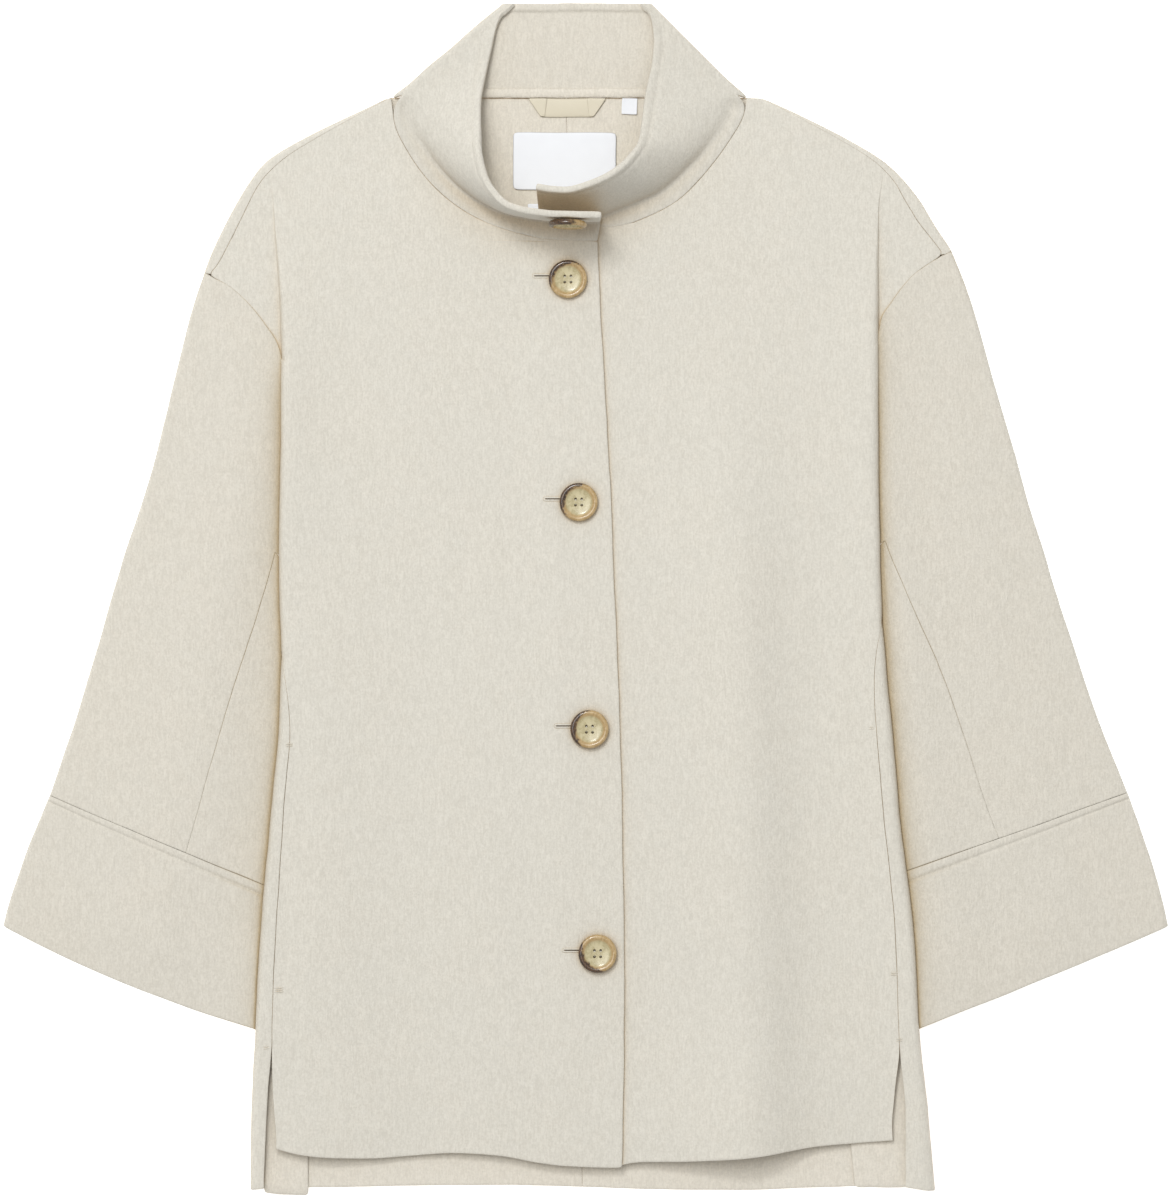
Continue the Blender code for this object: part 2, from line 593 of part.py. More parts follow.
def collar_side(side, y):
    """One side of a section across the folded back of the collar, from the free edge to the underside."""
    fold = COLLAR_FOLD[side]["x"](y)
    rim_x, rim_z = COLLAR_RIM[side]["x"](y), COLLAR_RIM[side]["z"](y)
    roll = COLLAR_ROLL(y)
    slope = (COLLAR_FOLD[side]["x"](y + 1.0) - COLLAR_FOLD[side]["x"](y - 1.0)) / 2.0
    width = roll * math.hypot(1.0, slope)
    inner = fold - side * (width + RIM_ROOM)
    if side * (inner - rim_x) < 0.0:
        rim_x = inner - side * RIM_NARROW
    top = []
    for t in spread(0.0, 1.0, 5)[:-1]:
        rise = (1.0 - t) ** RIM_CURL
        top.append((rim_x + (fold - side * width - rim_x) * t, y, 2 * roll + (rim_z - 2 * roll) * rise))
    arc = []
    for turn in spread(math.pi / 2, -math.pi / 2, 4):
        arc.append((fold - side * width * (1.0 - math.cos(turn)), y, roll * (1.0 + math.sin(turn))))
    return top, arc


def wing_line(side, row):
    """One line of a wing from the seam, over the strip that lies on the front, up to the free edge."""
    sx, sy = row["seam"]
    rx, ry, rz = row["rim"]
    away = Vector((rx - sx, ry - sy)).normalized() * row["flange"]
    lift = COLLAR_CLOTH + 2 * GAP
    ground = front_height(side, sx, sy) + (lap_height(sx, sy) if side == LEFT else 0.0) + lift
    foot = Vector((sx + away.x, sy + away.y, ground))
    rim = Vector((rx, ry, rz))
    line = [(sx, sy, ground)]
    for t in spread(0.0, 1.0, 4):
        lean = WING_LEAN * math.sin(math.pi * t) * (1.0 - t) if rz > WING_UPRIGHT else 0.0
        line.append(tuple(foot.lerp(rim, t) - Vector((away.x, away.y, 0.0)).normalized() * lean))
    return line


def collar():
    back_rows = []
    for y in COLLAR_ROWS:
        left_top, left_arc = collar_side(LEFT, y)
        right_top, right_arc = collar_side(RIGHT, y)
        flat = [(x, y, 0.0) for x in spread(left_arc[-1][0], right_arc[-1][0], 4)[1:-1]]
        back_rows.append(left_top + left_arc + flat + right_arc[::-1] + right_top[::-1])
    grids = [back_rows]
    for side in (LEFT, RIGHT):
        top, arc = collar_side(side, COLLAR_ROWS[-1])
        rows = [(top + arc[:1])[::-1]]
        rows += [wing_line(side, row) for row in WING[side]]
        grids.append(rows)
    return cloth("collar", grids, COLLAR_CLOTH)


# Trim.

def plate(name, corners, low, thick, finish):
    """A thin flat plate over the corners, which run round it."""
    shape = bmesh.new()
    face = shape.faces.new([shape.verts.new((x * MM, y * MM, low * MM)) for x, y in corners])
    raised = bmesh.ops.extrude_face_region(shape, geom=[face])
    moved = [v for v in raised["geom"] if isinstance(v, bmesh.types.BMVert)]
    bmesh.ops.translate(shape, verts=moved, vec=(0.0, 0.0, thick * MM))
    bmesh.ops.recalc_face_normals(shape, faces=shape.faces)
    mesh = bpy.data.meshes.new(name)
    shape.to_mesh(mesh)
    shape.free()
    return add_object(name, mesh, finish)


def tab(name, size, finish):
    (x0, y0), (x1, y1) = size["low"], size["high"]
    return plate(name, [(x0, y0), (x1, y0), (x1, y1), (x0, y1)], CLOTH + GAP, size["thick"], finish)


def facing(side):
    """The strip of cloth that backs the vent's edge, on the inside of the back."""
    edges = []
    for y in (FACING_END[side], FACING_MIDDLE, VENT_TOP):
        near = outline(side, y)[0] - FACING_START
        edges.append((side * near, side * (near - FACING[side]), y))
    corners = [(a, y) for a, b, y in edges] + [(b, y) for a, b, y in reversed(edges)]
    return plate("vent_facing_" + SIDE_NAME[side], corners, CLOTH + GAP, FACING_CLOTH, WOOL)


def button_mesh():
    """A turned button: flat back, rounded rim and a dished face."""
    shape = bmesh.new()
    turns = spread(0.0, 2 * math.pi, BUTTON_STEPS)[:-1]
    rings = []
    for radius_share, height_share in BUTTON_PROFILE:
        radius, height = radius_share * BUTTON_RADIUS * MM, height_share * BUTTON_THICK * MM
        places = [(radius * math.cos(a), radius * math.sin(a), height) for a in turns]
        rings.append([shape.verts.new(place) for place in (places if radius else places[:1])])
    for low, high in zip(rings, rings[1:]):
        for i in range(BUTTON_STEPS):
            j = (i + 1) % BUTTON_STEPS
            if len(low) == 1:
                shape.faces.new((low[0], high[j], high[i]))
            elif len(high) == 1:
                shape.faces.new((low[i], low[j], high[0]))
            else:
                shape.faces.new((low[i], low[j], high[j], high[i]))
    bmesh.ops.recalc_face_normals(shape, faces=shape.faces)
    mesh = bpy.data.meshes.new("button")
    shape.to_mesh(mesh)
    shape.free()
    mesh.shade_smooth()
    mesh.set_sharp_from_angle(angle=BUTTON_EDGE)
    return mesh


def collar_button_seat():
    """Middle and outward direction of the button on the over wing's outer face."""
    rows = WING[LEFT]
    before = wing_line(LEFT, rows[-2])
    low, high = Vector(before[1]), Vector(before[-1])
    along = Vector(wing_line(LEFT, rows[-1])[-1]) - high
    normal = (high - low).cross(along).normalized()
    if normal.y > 0.0:
        normal = -normal
    place = low.lerp(high, COLLAR_BUTTON["height_share"])
    place.x = COLLAR_BUTTON["x"]
    return place, normal


def buttons():
    mesh = button_mesh()
    for number, (x, y) in enumerate(BUTTONS, 2):
        seat = 0.0
        for a in spread(0.0, 2 * math.pi, SEAT_POINTS):
            px, py = x + BUTTON_RADIUS * math.cos(a), y + BUTTON_RADIUS * math.sin(a)
            seat = max(seat, front_height(LEFT, px, py) + lap_height(px, py))
        made = add_object("button_%d" % number, mesh.copy(), HORN)
        made.location = Vector((x, y, seat + GAP)) * MM
    place, normal = collar_button_seat()
    made = add_object("button_1", mesh, HORN)
    made.rotation_euler = normal.to_track_quat("Z", "Y").to_euler()
    made.location = (place + normal * COLLAR_BUTTON["clear"]) * MM


def main():
    for old in list(bpy.data.objects):
        bpy.data.objects.remove(old)
    back(LEFT, "back_left")
    back(RIGHT, "back_right")
    front(LEFT, "front_over")
    front(RIGHT, "front_under")
    for side in (LEFT, RIGHT):
        sleeve(side)
        cuff(side)
    collar()
    facing(LEFT)
    facing(RIGHT)
    buttons()
    tab("neck_label", LABEL, WHITE)
    tab("size_tab", SIZE_TAB, WHITE)
    tab("care_tab", CARE_TAB, WHITE)
    (t0, t1), (b0, b1), (ty, by) = LOOP["top"], LOOP["bottom"], LOOP["y"]
    plate("hanger_loop", [(t0, ty), (b0, by), (b1, by), (t1, ty)], CLOTH + GAP, LOOP["thick"], SATIN)


main()
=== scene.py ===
"""Looks of a cream double-faced wool jacket with a stand collar, laid on its back and seen from above.

Every cloth piece is drawn as rows of points on its outer face, given the cloth's thickness and
smoothed, so that its cut edges turn over softly and each seam is a real groove between two pieces.
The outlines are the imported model's own, in millimetres: +Y runs from the hem to the collar, +X is to
the right as seen from above, and Z = 0 is the surface that the jacket lies on.
"""
import math

import bmesh
import bpy
from mathutils import Matrix, Vector, noise


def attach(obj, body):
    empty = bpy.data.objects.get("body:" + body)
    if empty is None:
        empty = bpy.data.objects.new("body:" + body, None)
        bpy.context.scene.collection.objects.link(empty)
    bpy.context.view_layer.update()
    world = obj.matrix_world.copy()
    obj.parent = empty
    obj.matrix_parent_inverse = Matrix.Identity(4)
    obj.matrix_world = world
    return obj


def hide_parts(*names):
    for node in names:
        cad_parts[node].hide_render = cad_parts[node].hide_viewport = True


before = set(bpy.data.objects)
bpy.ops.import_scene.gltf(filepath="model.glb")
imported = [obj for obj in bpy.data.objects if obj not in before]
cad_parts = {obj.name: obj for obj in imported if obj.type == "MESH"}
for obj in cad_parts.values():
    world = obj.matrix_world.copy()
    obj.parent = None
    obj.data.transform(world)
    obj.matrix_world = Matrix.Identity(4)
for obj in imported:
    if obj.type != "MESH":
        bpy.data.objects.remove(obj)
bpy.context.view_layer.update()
noise.seed_set(7)      # without a seed the edges would wander another way in each run

MM = 0.001
LEFT, RIGHT = -1, 1
SIDE_NAME = {LEFT: "left", RIGHT: "right"}

CLOTH = 2.2            # thickness of the wool
COLLAR_CLOTH = 3.2     # and of the firmer collar
GAP = 0.3              # between a trim piece and what it lies on
SEAM_LIP = 0.3         # width of the last strip beside a seam, which turns down into it
HEM_LIP = 1.6          # and beside a free edge
STEP = 6.5             # size of the cloth's mesh before it is smoothed
MERGE = 0.02           # points of two grids nearer than this are one
REST_TOP = 6.2         # top of a front that lies on the back
HEM_LIFT = 6.0         # how far the middle of the front's hem stands off the back
HEM_LIFT_X, HEM_LIFT_WIDTH = 105.0, 75.0
SIDE_TOP = 12.0        # top of the body's rounded sides
SIDE_SWELL = 30.0      # and how far their roundness reaches inwards
SIDE_CALM = 25.0       # ridges and unevenness fade out over this width at the side
TOP_BLEND = 12.0       # and the rounded side passes into the front's own height over this one
FOLD_STRETCH = 2.4     # how much wider the fold of a slanting edge is drawn in a section, at most
RUN = 15.0             # flat cloth for each unit of the section parameter
LAP = 44.0             # width of the fronts' overlap
LAP_RISE = CLOTH + 0.3    # how far the under front lifts the over front
LAP_EASE = 30.0        # the over front comes down to the back in this width
NECK_Y = 371.7         # seam of the back neck
HEM_FRONT = -412.0
HEM_BACK = -436.5
VENT_TOP = -330.0
POCKET = {LEFT: (-108.0, -290.0), RIGHT: (-96.0, -278.0)}
POCKET_GAPE = 0.12     # how far the pocket's mouth stands open
POCKET_EASE = 14.0     # and the length over which it closes at each end
WOBBLE = 0.45          # how far a cut edge strays from its line
CRINKLE = 0.28         # unevenness of the cloth's face


# Small maths.

def clamp(t):
    return min(1.0, max(0.0, t))


def smooth(t):
    t = clamp(t)
    return t * t * (3.0 - 2.0 * t)


def mix(a, b, t):
    return a + (b - a) * t


def bump(x, middle, width):
    return math.exp(-(((x - middle) / width) ** 2))


def spread(start, stop, count):
    return [start + (stop - start) * i / count for i in range(count + 1)]


def fill(stops, step=STEP):
    """The stops, with evenly spaced values between them that are at most a step apart."""
    made = [stops[0]]
    for a, b in zip(stops, stops[1:]):
        made += spread(a, b, max(1, math.ceil(abs(b - a) / step)))[1:]
    return made


def curve(positions, values):
    """A smooth curve through the values that never overshoots them, level past its ends."""
    pairs = sorted(zip(positions, values))
    xs = [p[0] for p in pairs]
    ys = [p[1] for p in pairs]
    slopes = [(ys[i + 1] - ys[i]) / (xs[i + 1] - xs[i]) for i in range(len(xs) - 1)]
    tangents = [slopes[0]]
    for a, b in zip(slopes, slopes[1:]):
        tangents.append(0.0 if a * b <= 0.0 else 2.0 * a * b / (a + b))
    tangents.append(slopes[-1])

    def value(x):
        if x <= xs[0]:
            return ys[0]
        if x >= xs[-1]:
            return ys[-1]
        i = max(k for k in range(len(xs) - 1) if xs[k] <= x)
        h = xs[i + 1] - xs[i]
        t = (x - xs[i]) / h
        lead = (1.0 + 2.0 * t) * (1.0 - t) ** 2 * ys[i] + t * (1.0 - t) ** 2 * h * tangents[i]
        return lead + t * t * (3.0 - 2.0 * t) * ys[i + 1] - t * t * (1.0 - t) * h * tangents[i + 1]

    return value


def columns(names, *rows):
    """A table whose first column is a position: each other column becomes a curve along it."""
    positions = [row[0] for row in rows]
    return {name: curve(positions, [row[i] for row in rows]) for i, name in enumerate(names.split()) if i}


def table(names, *rows):
    """A table whose rows are read by the names of their columns."""
    return [dict(zip(names.split(), row)) for row in rows]


# Outlines: out is the distance from x = 0 to the side, inset is how far inside that edge the seam shows.

SHOULDER = {
    LEFT: columns("y out inset", (371, 146, 1), (355, 181, 6), (340, 211, 9), (325, 236, 11),
                  (310, 248, 8), (296, 257, 9), (273, 269, 10), (251, 279, 9), (242, 282, 5)),
    RIGHT: columns("y out inset", (373, 127, 1), (355, 166, 5), (340, 195, 6), (325, 220, 7),
                   (310, 236, 8), (296, 247, 11), (281, 256, 11), (266, 266, 9), (258, 271, 8)),
}
ARMHOLE = {
    LEFT: columns("y out", (242, 282), (239, 277), (232, 263), (219, 249), (203, 237), (190, 229),
                  (177, 226)),
    RIGHT: columns("y out", (258, 271), (254, 263), (250, 256), (239, 241), (221, 227), (207, 219),
                   (188, 217)),
}
ARMHOLE_TOP = {LEFT: 242.0, RIGHT: 258.0}
ARMHOLE_LOW = {LEFT: 177.0, RIGHT: 188.0}
UNDERARM_Y = {LEFT: 32.0, RIGHT: 40.0}
UNDERARM_TURN = -0.93  # how far round the side the front goes under the sleeve
UNDERARM_EASE = 30.0   # and the length over which it gets there
SIDE = {
    LEFT: columns("y out inset", (177, 225.5, 0), (125, 225.5, 0), (40, 227, -6), (0, 226.5, -6),
                  (-41, 225.5, 0), (-74, 226, 6), (-108, 228, 9), (-148, 232, 9.3), (-193, 236, 10.4),
                  (-267, 242, 12), (-330, 245, 13), (-370, 247, 16), (-407, 248, 19), (-437, 248, 19)),
    RIGHT: columns("y out inset", (188, 217, 0), (125, 217, 0), (44, 218, -6), (14, 218.5, -6),
                   (-14, 220, -1), (-36, 221.5, 6), (-62, 223.5, 10), (-95, 227, 12), (-163, 233, 12),
                   (-245, 243, 14), (-330, 248, 16), (-370, 253, 24), (-407, 256, 29), (-437, 259, 29)),
}
VENT_BACK = {
    LEFT: columns("y inset", (-330, 13), (-370, 12), (-437, 10)),
    RIGHT: columns("y inset", (-330, 16), (-370, 17), (-437, 22)),
}
PLEAT = {
    LEFT: columns("y out", (333, 239), (312, 233), (288, 231), (224, 227), (177, 225)),
    RIGHT: columns("y out", (333, 225), (306, 219), (287, 217), (188, 217)),
}
PLEAT_START = 336.0
PLEAT_RETURN = 30.0    # outside the pleat the cloth comes up again over this width
LAP_EDGE = columns("y x", (272, 9), (251, 9.5), (222, 11), (148, 15), (74, 19), (0, 22), (-74, 25),
                   (-148, 27), (-296, 29), (-421, 27))["x"]
HEM_LINE = columns("x y", (-229, -407), (-213, -411), (-194, -413), (-162, -414), (-100, -410), (-62, -412),
                   (-36, -417), (-4, -420), (25, -421), (31, -417), (76, -416), (124, -413), (173, -405),
                   (225, -401))["y"]
BACK_HEM_LINE = columns("x y", (-250, -437.5), (-228, -435.5), (-190, -435), (-60, -433.5), (30, -436),
                        (110, -437.5), (180, -435), (225, -434), (252, -437.5))["y"]
CENTRE_BACK = columns("y x", (372, -14), (-437, -2))["x"]

# Broad lengthwise ridges that the cloth keeps as it lies. Each starts at top and grows towards the hem.
RIDGES = table("x_hem x_top width height top",
               (-194.0, -198.0, 42.0, 6.4, 230.0),
               (-58.0, -62.0, 62.0, 4.4, 190.0),
               (96.0, 80.0, 42.0, 5.0, 330.0),
               (126.0, 106.0, 29.0, 11.5, 330.0))
RIDGE_TOP_SHARE = 0.66    # a ridge's height where it starts, against its height at the hem
RIDGE_START = 2.2         # how quickly it starts

CROWN = 34.0           # width of the strip of a front that is meshed finely at its side
CROWN_SHARE = 0.6      # and at most this share of its width
CROWN_CELLS = 18
CREASE_CELLS = 5       # cells over the rounded edge of the pleat
FLAT_CELLS = 26
ROUND_SHARE = 3.0      # how much more finely the rounded fold is meshed than the flat
PLEAT_SINK = 1.3       # how far the cloth outside the pleat lies below the rest
WING_LOW = {LEFT: 265.0, RIGHT: 275.6}     # where the neck edge ends and the front's free edge starts
LAP_END = 9.2          # how far past the middle each neck edge runs
# Levels at which a row of points runs across a panel.
NECK_ROWS = (371.6, 369.5, 366.0, 345.0, 320.0, 300.0, 285.0, 279.0, 274.0)
NECK_END_ROWS = (5.0, 2.6, 1.2, 0.5, 0.0, -0.6, -3.0)      # above and below the end of the neck edge
BACK_NECK_ROWS = (NECK_Y, 366.0, 345.0, 320.0)
SHOULDER_ROWS = (307.0, 295.0, 285.0)
ARMHOLE_ROWS = (0.0, 1.5, 3, 6, 10, 22, 36)                # below the shoulder point

# Sleeves. Row curves run from the outer fold to the inner fold.
SLEEVE_GAP = -0.08     # between two sleeve pieces, which press together
SIDE_TUCK = 0.9        # how far the sleeve's inner fold lies in under the body's side
SLEEVE_SINK = {LEFT: 1.8, RIGHT: 1.0}      # how far the sleeve sinks where it lies against the body
SLEEVE_LENGTH, SLEEVE_WIDTH = 390.0, 170.0
SLEEVE_CELLS = 24
TUCK = 1.5             # how far round its fold the sleeve turns in under the body's side
TUCK_CELLS = 4
# Share across the sleeve, width in shares, height, and how far it leans down the sleeve.
SLEEVE_RIDGES = {
    LEFT: ((0.30, 0.30, 2.4, 0.05), (0.64, 0.20, 3.4, -0.04)),
    RIGHT: ((0.32, 0.26, 2.4, 0.06), (0.93, 0.13, 4.5, -0.04)),
}
CUFF_AT = {
    LEFT: {"outer": (-397.0, -145.0), "inner": (-239.5, -212.0)},
    RIGHT: {"outer": (401.0, -143.0), "inner": (241.0, -201.0)},
}
CUFF_END = {
    LEFT: {"outer": (-431.3, -242.0), "inner": (-248.5, -318.5)},
    RIGHT: {"outer": (431.3, -242.0), "inner": (250.5, -318.0)},
}
CUFF_BELLY = {LEFT: 5.0, RIGHT: 1.0}       # how far the cuff's free edge curves out
CUFF_DEEP = 104.0
CUFF_ROWS = [0.0, 0.5, 1.6, 3.2, 5.0, 6.4, 7.4, 8.4, 9.6, 11.5]     # below the cuff's seam
CUFF_FLAT = 15.0       # and from here on the rows are evenly spaced
WELT = 7.4             # width of the raised welt below that seam, as far as its groove
WELT_RISE = 0.45       # its height
WELT_GROOVE = 0.75     # and the depth of the groove
WELT_NARROW = 0.62     # the welt's width at the outer fold, against that at the inner fold
SLEEVE_FOLD = {
    LEFT: columns("y out", (242, 282), (222, 289), (185, 299), (148, 308), (111, 317), (74, 328), (37, 340),
                  (0, 351), (-37, 362), (-74, 373), (-111, 385), (-145, 397), (-185, 413), (-222, 426),
                  (-242, 431.3)),
    RIGHT: columns("y out", (258, 271), (222, 285), (185, 296), (148, 306), (111, 317), (74, 327), (37, 339),
                   (0, 350), (-37, 362), (-74, 374), (-111, 388), (-143, 401), (-185, 416), (-222, 427),
                   (-242, 431.3)),
}
FRONT_SEAM_AT = {
    LEFT: columns("v share", (0.37, 0.99), (0.5, 0.87), (0.7, 0.74), (1, 0.64)),
    RIGHT: columns("v share", (0.37, 0.99), (0.5, 0.85), (0.7, 0.70), (1, 0.59)),
}
BACK_SEAM_AT = {
    LEFT: columns("v share", (0, 0.72), (1, 0.64)),
    RIGHT: columns("v share", (0, 0.72), (1, 0.59)),
}

# Collar. The back of the band lies flat; its sides fold over, and the two wings stand up.
COLLAR_TOP = 441.5
COLLAR_CLEAR = 1.0
COLLAR_CELLS = 8
RIM_SHARE = 1.55       # thickness of the turned free edge, against the rest of the collar
RIM_WIDTH = 7.4        # and its width, as far as a soft groove
RIM_GROOVE = 0.8
RIM_STEPS = ((0.0, 0.0), (2.0, 0.08), (4.4, 0.16), (6.2, 0.22), (7.4, 0.27), (8.8, 0.32), (11.0, 0.4))
FOOT_GROOVE = 1.8      # depth of the groove where a wing stands up from its foot
FLANGE_LIFT = 0.35     # the strip of the band that lies on the front: its height above it
FLANGE_SHARE = 0.72    # and its thickness, against the rest of the collar
WING_LEAN = 3.0        # how far a standing wing bows outwards
COLLAR_CUT = (672.0, 84.0)      # length along the neck seam, and height of the band
COLLAR_FOLD = {
    LEFT: columns("y x", (442, -60), (433, -71), (425, -81), (410, -98), (396, -115), (381, -131),
                  (372, -144)),
    RIGHT: columns("y x", (442, 48), (433, 57), (418, 72), (403, 87), (388, 102), (379, 112), (372, 121)),
}
COLLAR_RIM = {
    LEFT: columns("y x z", (442, -53, 8.4), (436, -62, 8.8), (399, -71, 13), (377, -76, 20), (372, -77, 22)),
    RIGHT: columns("y x z", (442, 43, 8.4), (436, 47.5, 8.8), (414, 50, 10.5), (399, 49, 12.5),
                   (380, 45.5, 18), (372, 44, 20)),
}
COLLAR_ROLL = columns("y r", (442, 3.7), (372, 4.7))["r"]
# One row for each line from the neck seam up to the band's free edge.
WING = {
    LEFT: table("seam rim flange",
                ((-142, 362), (-77.5, 363, 26), 8),
                ((-139, 345), (-78, 349, 34), 11),
                ((-121, 316), (-78.5, 327, 49), 13),
                ((-100, 295), (-73, 305, 59), 14),
                ((-74, 279), (-58, 288.5, 66), 14.5),
                ((-39, 268), (-32, 282.5, 70), 14.5),
                ((-14, 265.5), (-9, 281.5, 71), 15.5),
                ((9, 265), (12, 281, 72), 15.5)),
    RIGHT: table("seam rim flange",
                 ((118, 364), (43, 362, 24), 9),
                 ((114, 352), (41.5, 350, 31), 11),
                 ((98, 327), (39, 336, 45), 12),
                 ((72, 298), (31, 323, 56), 13),
                 ((50, 285), (20, 313, 62), 13.5),
                 ((28, 277), (6, 306, 66), 12),
                 ((9, 275.6), (-10, 301, 67), 6),
                 ((-14, 278), (-25, 301, 67), 2),
                 ((-34, 279), (-37, 303, 67), 2)),
}

# The raised seam of the back neck: its section, thickness and ends.
NECK_BAND = ((378.6, 3.6), (377.4, 4.6), (375.4, 5.0), (373.2, 4.9), (371.9, 4.5), (371.2, 3.7))
NECK_BAND_CLOTH = 1.3
NECK_BAND_ENDS = (-82.0, 50.0)

# Trim.
BUTTON_RADIUS = 14.2
BUTTON_THICK = 4.6
BUTTON_STEPS = 72
# Half a section of a button, as shares of its radius and thickness.
BUTTON_PROFILE = ((0.0, 0.0), (0.80, 0.0), (0.93, 0.12), (0.99, 0.40), (1.0, 0.62), (0.975, 0.84),
                  (0.92, 0.97), (0.86, 1.0), (0.80, 0.965), (0.74, 0.86), (0.66, 0.72), (0.56, 0.64),
                  (0.40, 0.60), (0.2, 0.585), (0.0, 0.58))
BUTTONS = ((-13.0, 237.0), (-5.0, 72.0), (3.0, -96.0), (9.0, -262.0))
BUTTON_TURN = (135.0, 150.0, 170.0, 215.0)       # the way that the dark side of each button faces
HOLES = ((-2.3, -2.3), (-2.3, 2.3), (2.3, -2.3), (2.3, 2.3))
HOLE_RADIUS = 1.05
STITCHES = (-0.45, 0.0, 0.45)    # the threads that lie side by side between two holes
STITCH_RADIUS = 0.3
STITCH_LIFT = 0.5
COLLAR_BUTTON = {"x": -13.0, "height_share": 0.78, "clear": 0.8, "turn": 150.0}
# A buttonhole: how far it runs out past the button's rim and in under it, how far above the button's
# middle it lies, half its width, the thickness of its lips and how high it sits on the cloth.
SLIT_OUT = 10.5
SLIT_IN = 9.0
SLIT_ABOVE = 2.4
LIP_OUT = 0.95
LIP_RADIUS = 0.7
LIP_LIFT = 0.12
TAPES = table("node low high thick curl tilt",
              ("neck_label", (-54.0, 303.0), (23.0, 346.0), 0.6, 0.5, -0.006),
              ("size_tab", (27.0, 359.0), (38.5, 371.0), 0.5, 0.8, -0.05),
              ("care_tab", (-43.0, 282.5), (-8.0, 293.0), 0.5, 0.3, 0.0))
LOOP = {"top": (-43.0, 16.0), "bottom": (-33.0, 6.0), "y": (371.2, 357.0), "thick": 0.63, "lift": 0.9}
LOOP_END = {"top": 15.0, "bottom": 3.0, "thick": 0.5, "lift": 1.75}      # its turned corners
FACING = {LEFT: 33.0, RIGHT: 50.0}
FACING_END = {LEFT: -441.5, RIGHT: -435.5}
FACING_CLOTH = 1.7
FACING_START = 10.0
# Bar tacks at the pockets and vents: from x, to x, y and number of threads.
TACKS = ((-230.3, -223.6, -289.0, 3), (-221.5, -216.5, -107.7, 2), (-238.6, -233.6, -331.5, 2),
         (226.0, 231.0, -277.0, 2), (210.0, 215.0, -95.0, 2), (230.0, 235.0, -326.0, 2))
TACK_RADIUS = 0.34
TACK_STEP = 1.5

# Colours.
SHEEN = 0.2
CREASE_SHADE = (0.84, 0.68, 0.48, 1.0)          # painted shade: a warm brown that multiplies the wool's colour deep in its creases
# the same painted shade, fainter on the inside face and darker on the sleeves
CREASE_SHADE_INSIDE = (1.0, 0.985, 0.96, 1.0)
CREASE_SHADE_SLEEVE = (0.70, 0.60, 0.44, 1.0)
OPEN = (0.25, 0.98)      # share of the sky that is seen, from deep in a crease to open cloth, over which the painted shade fades out
OPEN_SLEEVE = (0.66, 1.0)
SLEEVE_SHADE_REACH = (0.25, 0.30)     # the sleeves' painted warm shade beside the body fades out over this distance from the centre
CREAM = (0.618, 0.598, 0.539)
CREAM_INSIDE = (0.655, 0.622, 0.552)      # the other face of the cloth
CREAM_BAND = (0.615, 0.586, 0.520)        # and of the collar
HORN = {"olive": (0.40, 0.345, 0.19, 1.0), "pale": (0.53, 0.47, 0.29, 1.0),
        "tan": (0.36, 0.24, 0.10, 1.0), "honey": (0.50, 0.36, 0.18, 1.0),
        "brown": (0.10, 0.052, 0.024, 1.0), "black": (0.028, 0.016, 0.010, 1.0)}

# Studio.
PHOTO_HEIGHT = 0.888     # metres that the picture's height shows
CAMERA_LENS = 500.0
CAMERA_SENSOR = 36.0
CAMERA_AIM = (0.0004, -0.0004)
CAMERA_LEVEL = 0.008     # the height at which the picture is to scale
WORLD_LIGHT = 0.548
KEY_LIGHT = 1.35
KEY_FROM = (-0.75, 0.85, 3.0)
KEY_SPREAD = 38.0        # degrees across, for soft shadows
GLINT_LIGHT = 20.0       # a small lamp that puts the shine on the buttons
GLINT_FROM = (-0.5, 1.3, 2.3)
GLINT_SIZE = 0.5
FLOOR_GLOW = 0.6
FLOOR_SIZE = 6.0
FLOOR_LEVEL = -0.0004


def unevenness(x, y):
    """A slow, slight rise and fall of the cloth, in millimetres."""
    slow = noise.noise(Vector((x / 70.0, y / 120.0, 3.1)))
    quick = noise.noise(Vector((x / 24.0, y / 38.0, 7.7)))
    return CRINKLE * (1.5 * slow + quick)


def ridge_height(x, y):
    total = 0.0
    for ridge in RIDGES:
        down = smooth((ridge["top"] - y) / (ridge["top"] - HEM_FRONT))
        centre = mix(ridge["x_top"], ridge["x_hem"], down)
        grown = mix(RIDGE_TOP_SHARE, 1.0, down)
        total += ridge["height"] * smooth(down * RIDGE_START) * grown * bump(x, centre, ridge["width"])
    return total


def lap_height(x, y):
    """How much the over front is lifted by the under front."""
    return LAP_RISE * smooth((x - LAP_EDGE(y) + LAP + LAP_EASE) / LAP_EASE)


def over_height(x, y):
    return front_height(LEFT, x, y) + lap_height(x, y)


# Cloth pieces.

def stray(point):
    """The point, moved a little sideways as brushed cloth and its cut edges wander."""
    x, y, z = point[:3]
    slow = noise.noise_vector(Vector((x / 31.0, y / 31.0, 0.5)))
    quick = noise.noise_vector(Vector((x / 9.0, y / 9.0, 5.5)))
    return Vector((x + WOBBLE * (slow.x + 0.6 * quick.x), y + WOBBLE * (slow.y + 0.6 * quick.y), z)) * MM


def length_of(points):
    return sum((Vector(b[:3]) - Vector(a[:3])).length for a, b in zip(points, points[1:]))


def finished(piece, node):
    """Every piece rides on the body and stands for its node, if it has one."""
    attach(piece, "root")
    if node:
        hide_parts(node)
    return piece


def mesh_object(name, shape, materials):
    mesh = bpy.data.meshes.new(name)
    shape.to_mesh(mesh)
    shape.free()
    mesh.shade_smooth()
    made = bpy.data.objects.new(name, mesh)
    bpy.context.scene.collection.objects.link(made)
    for material in materials:
        mesh.materials.append(material)
    return made


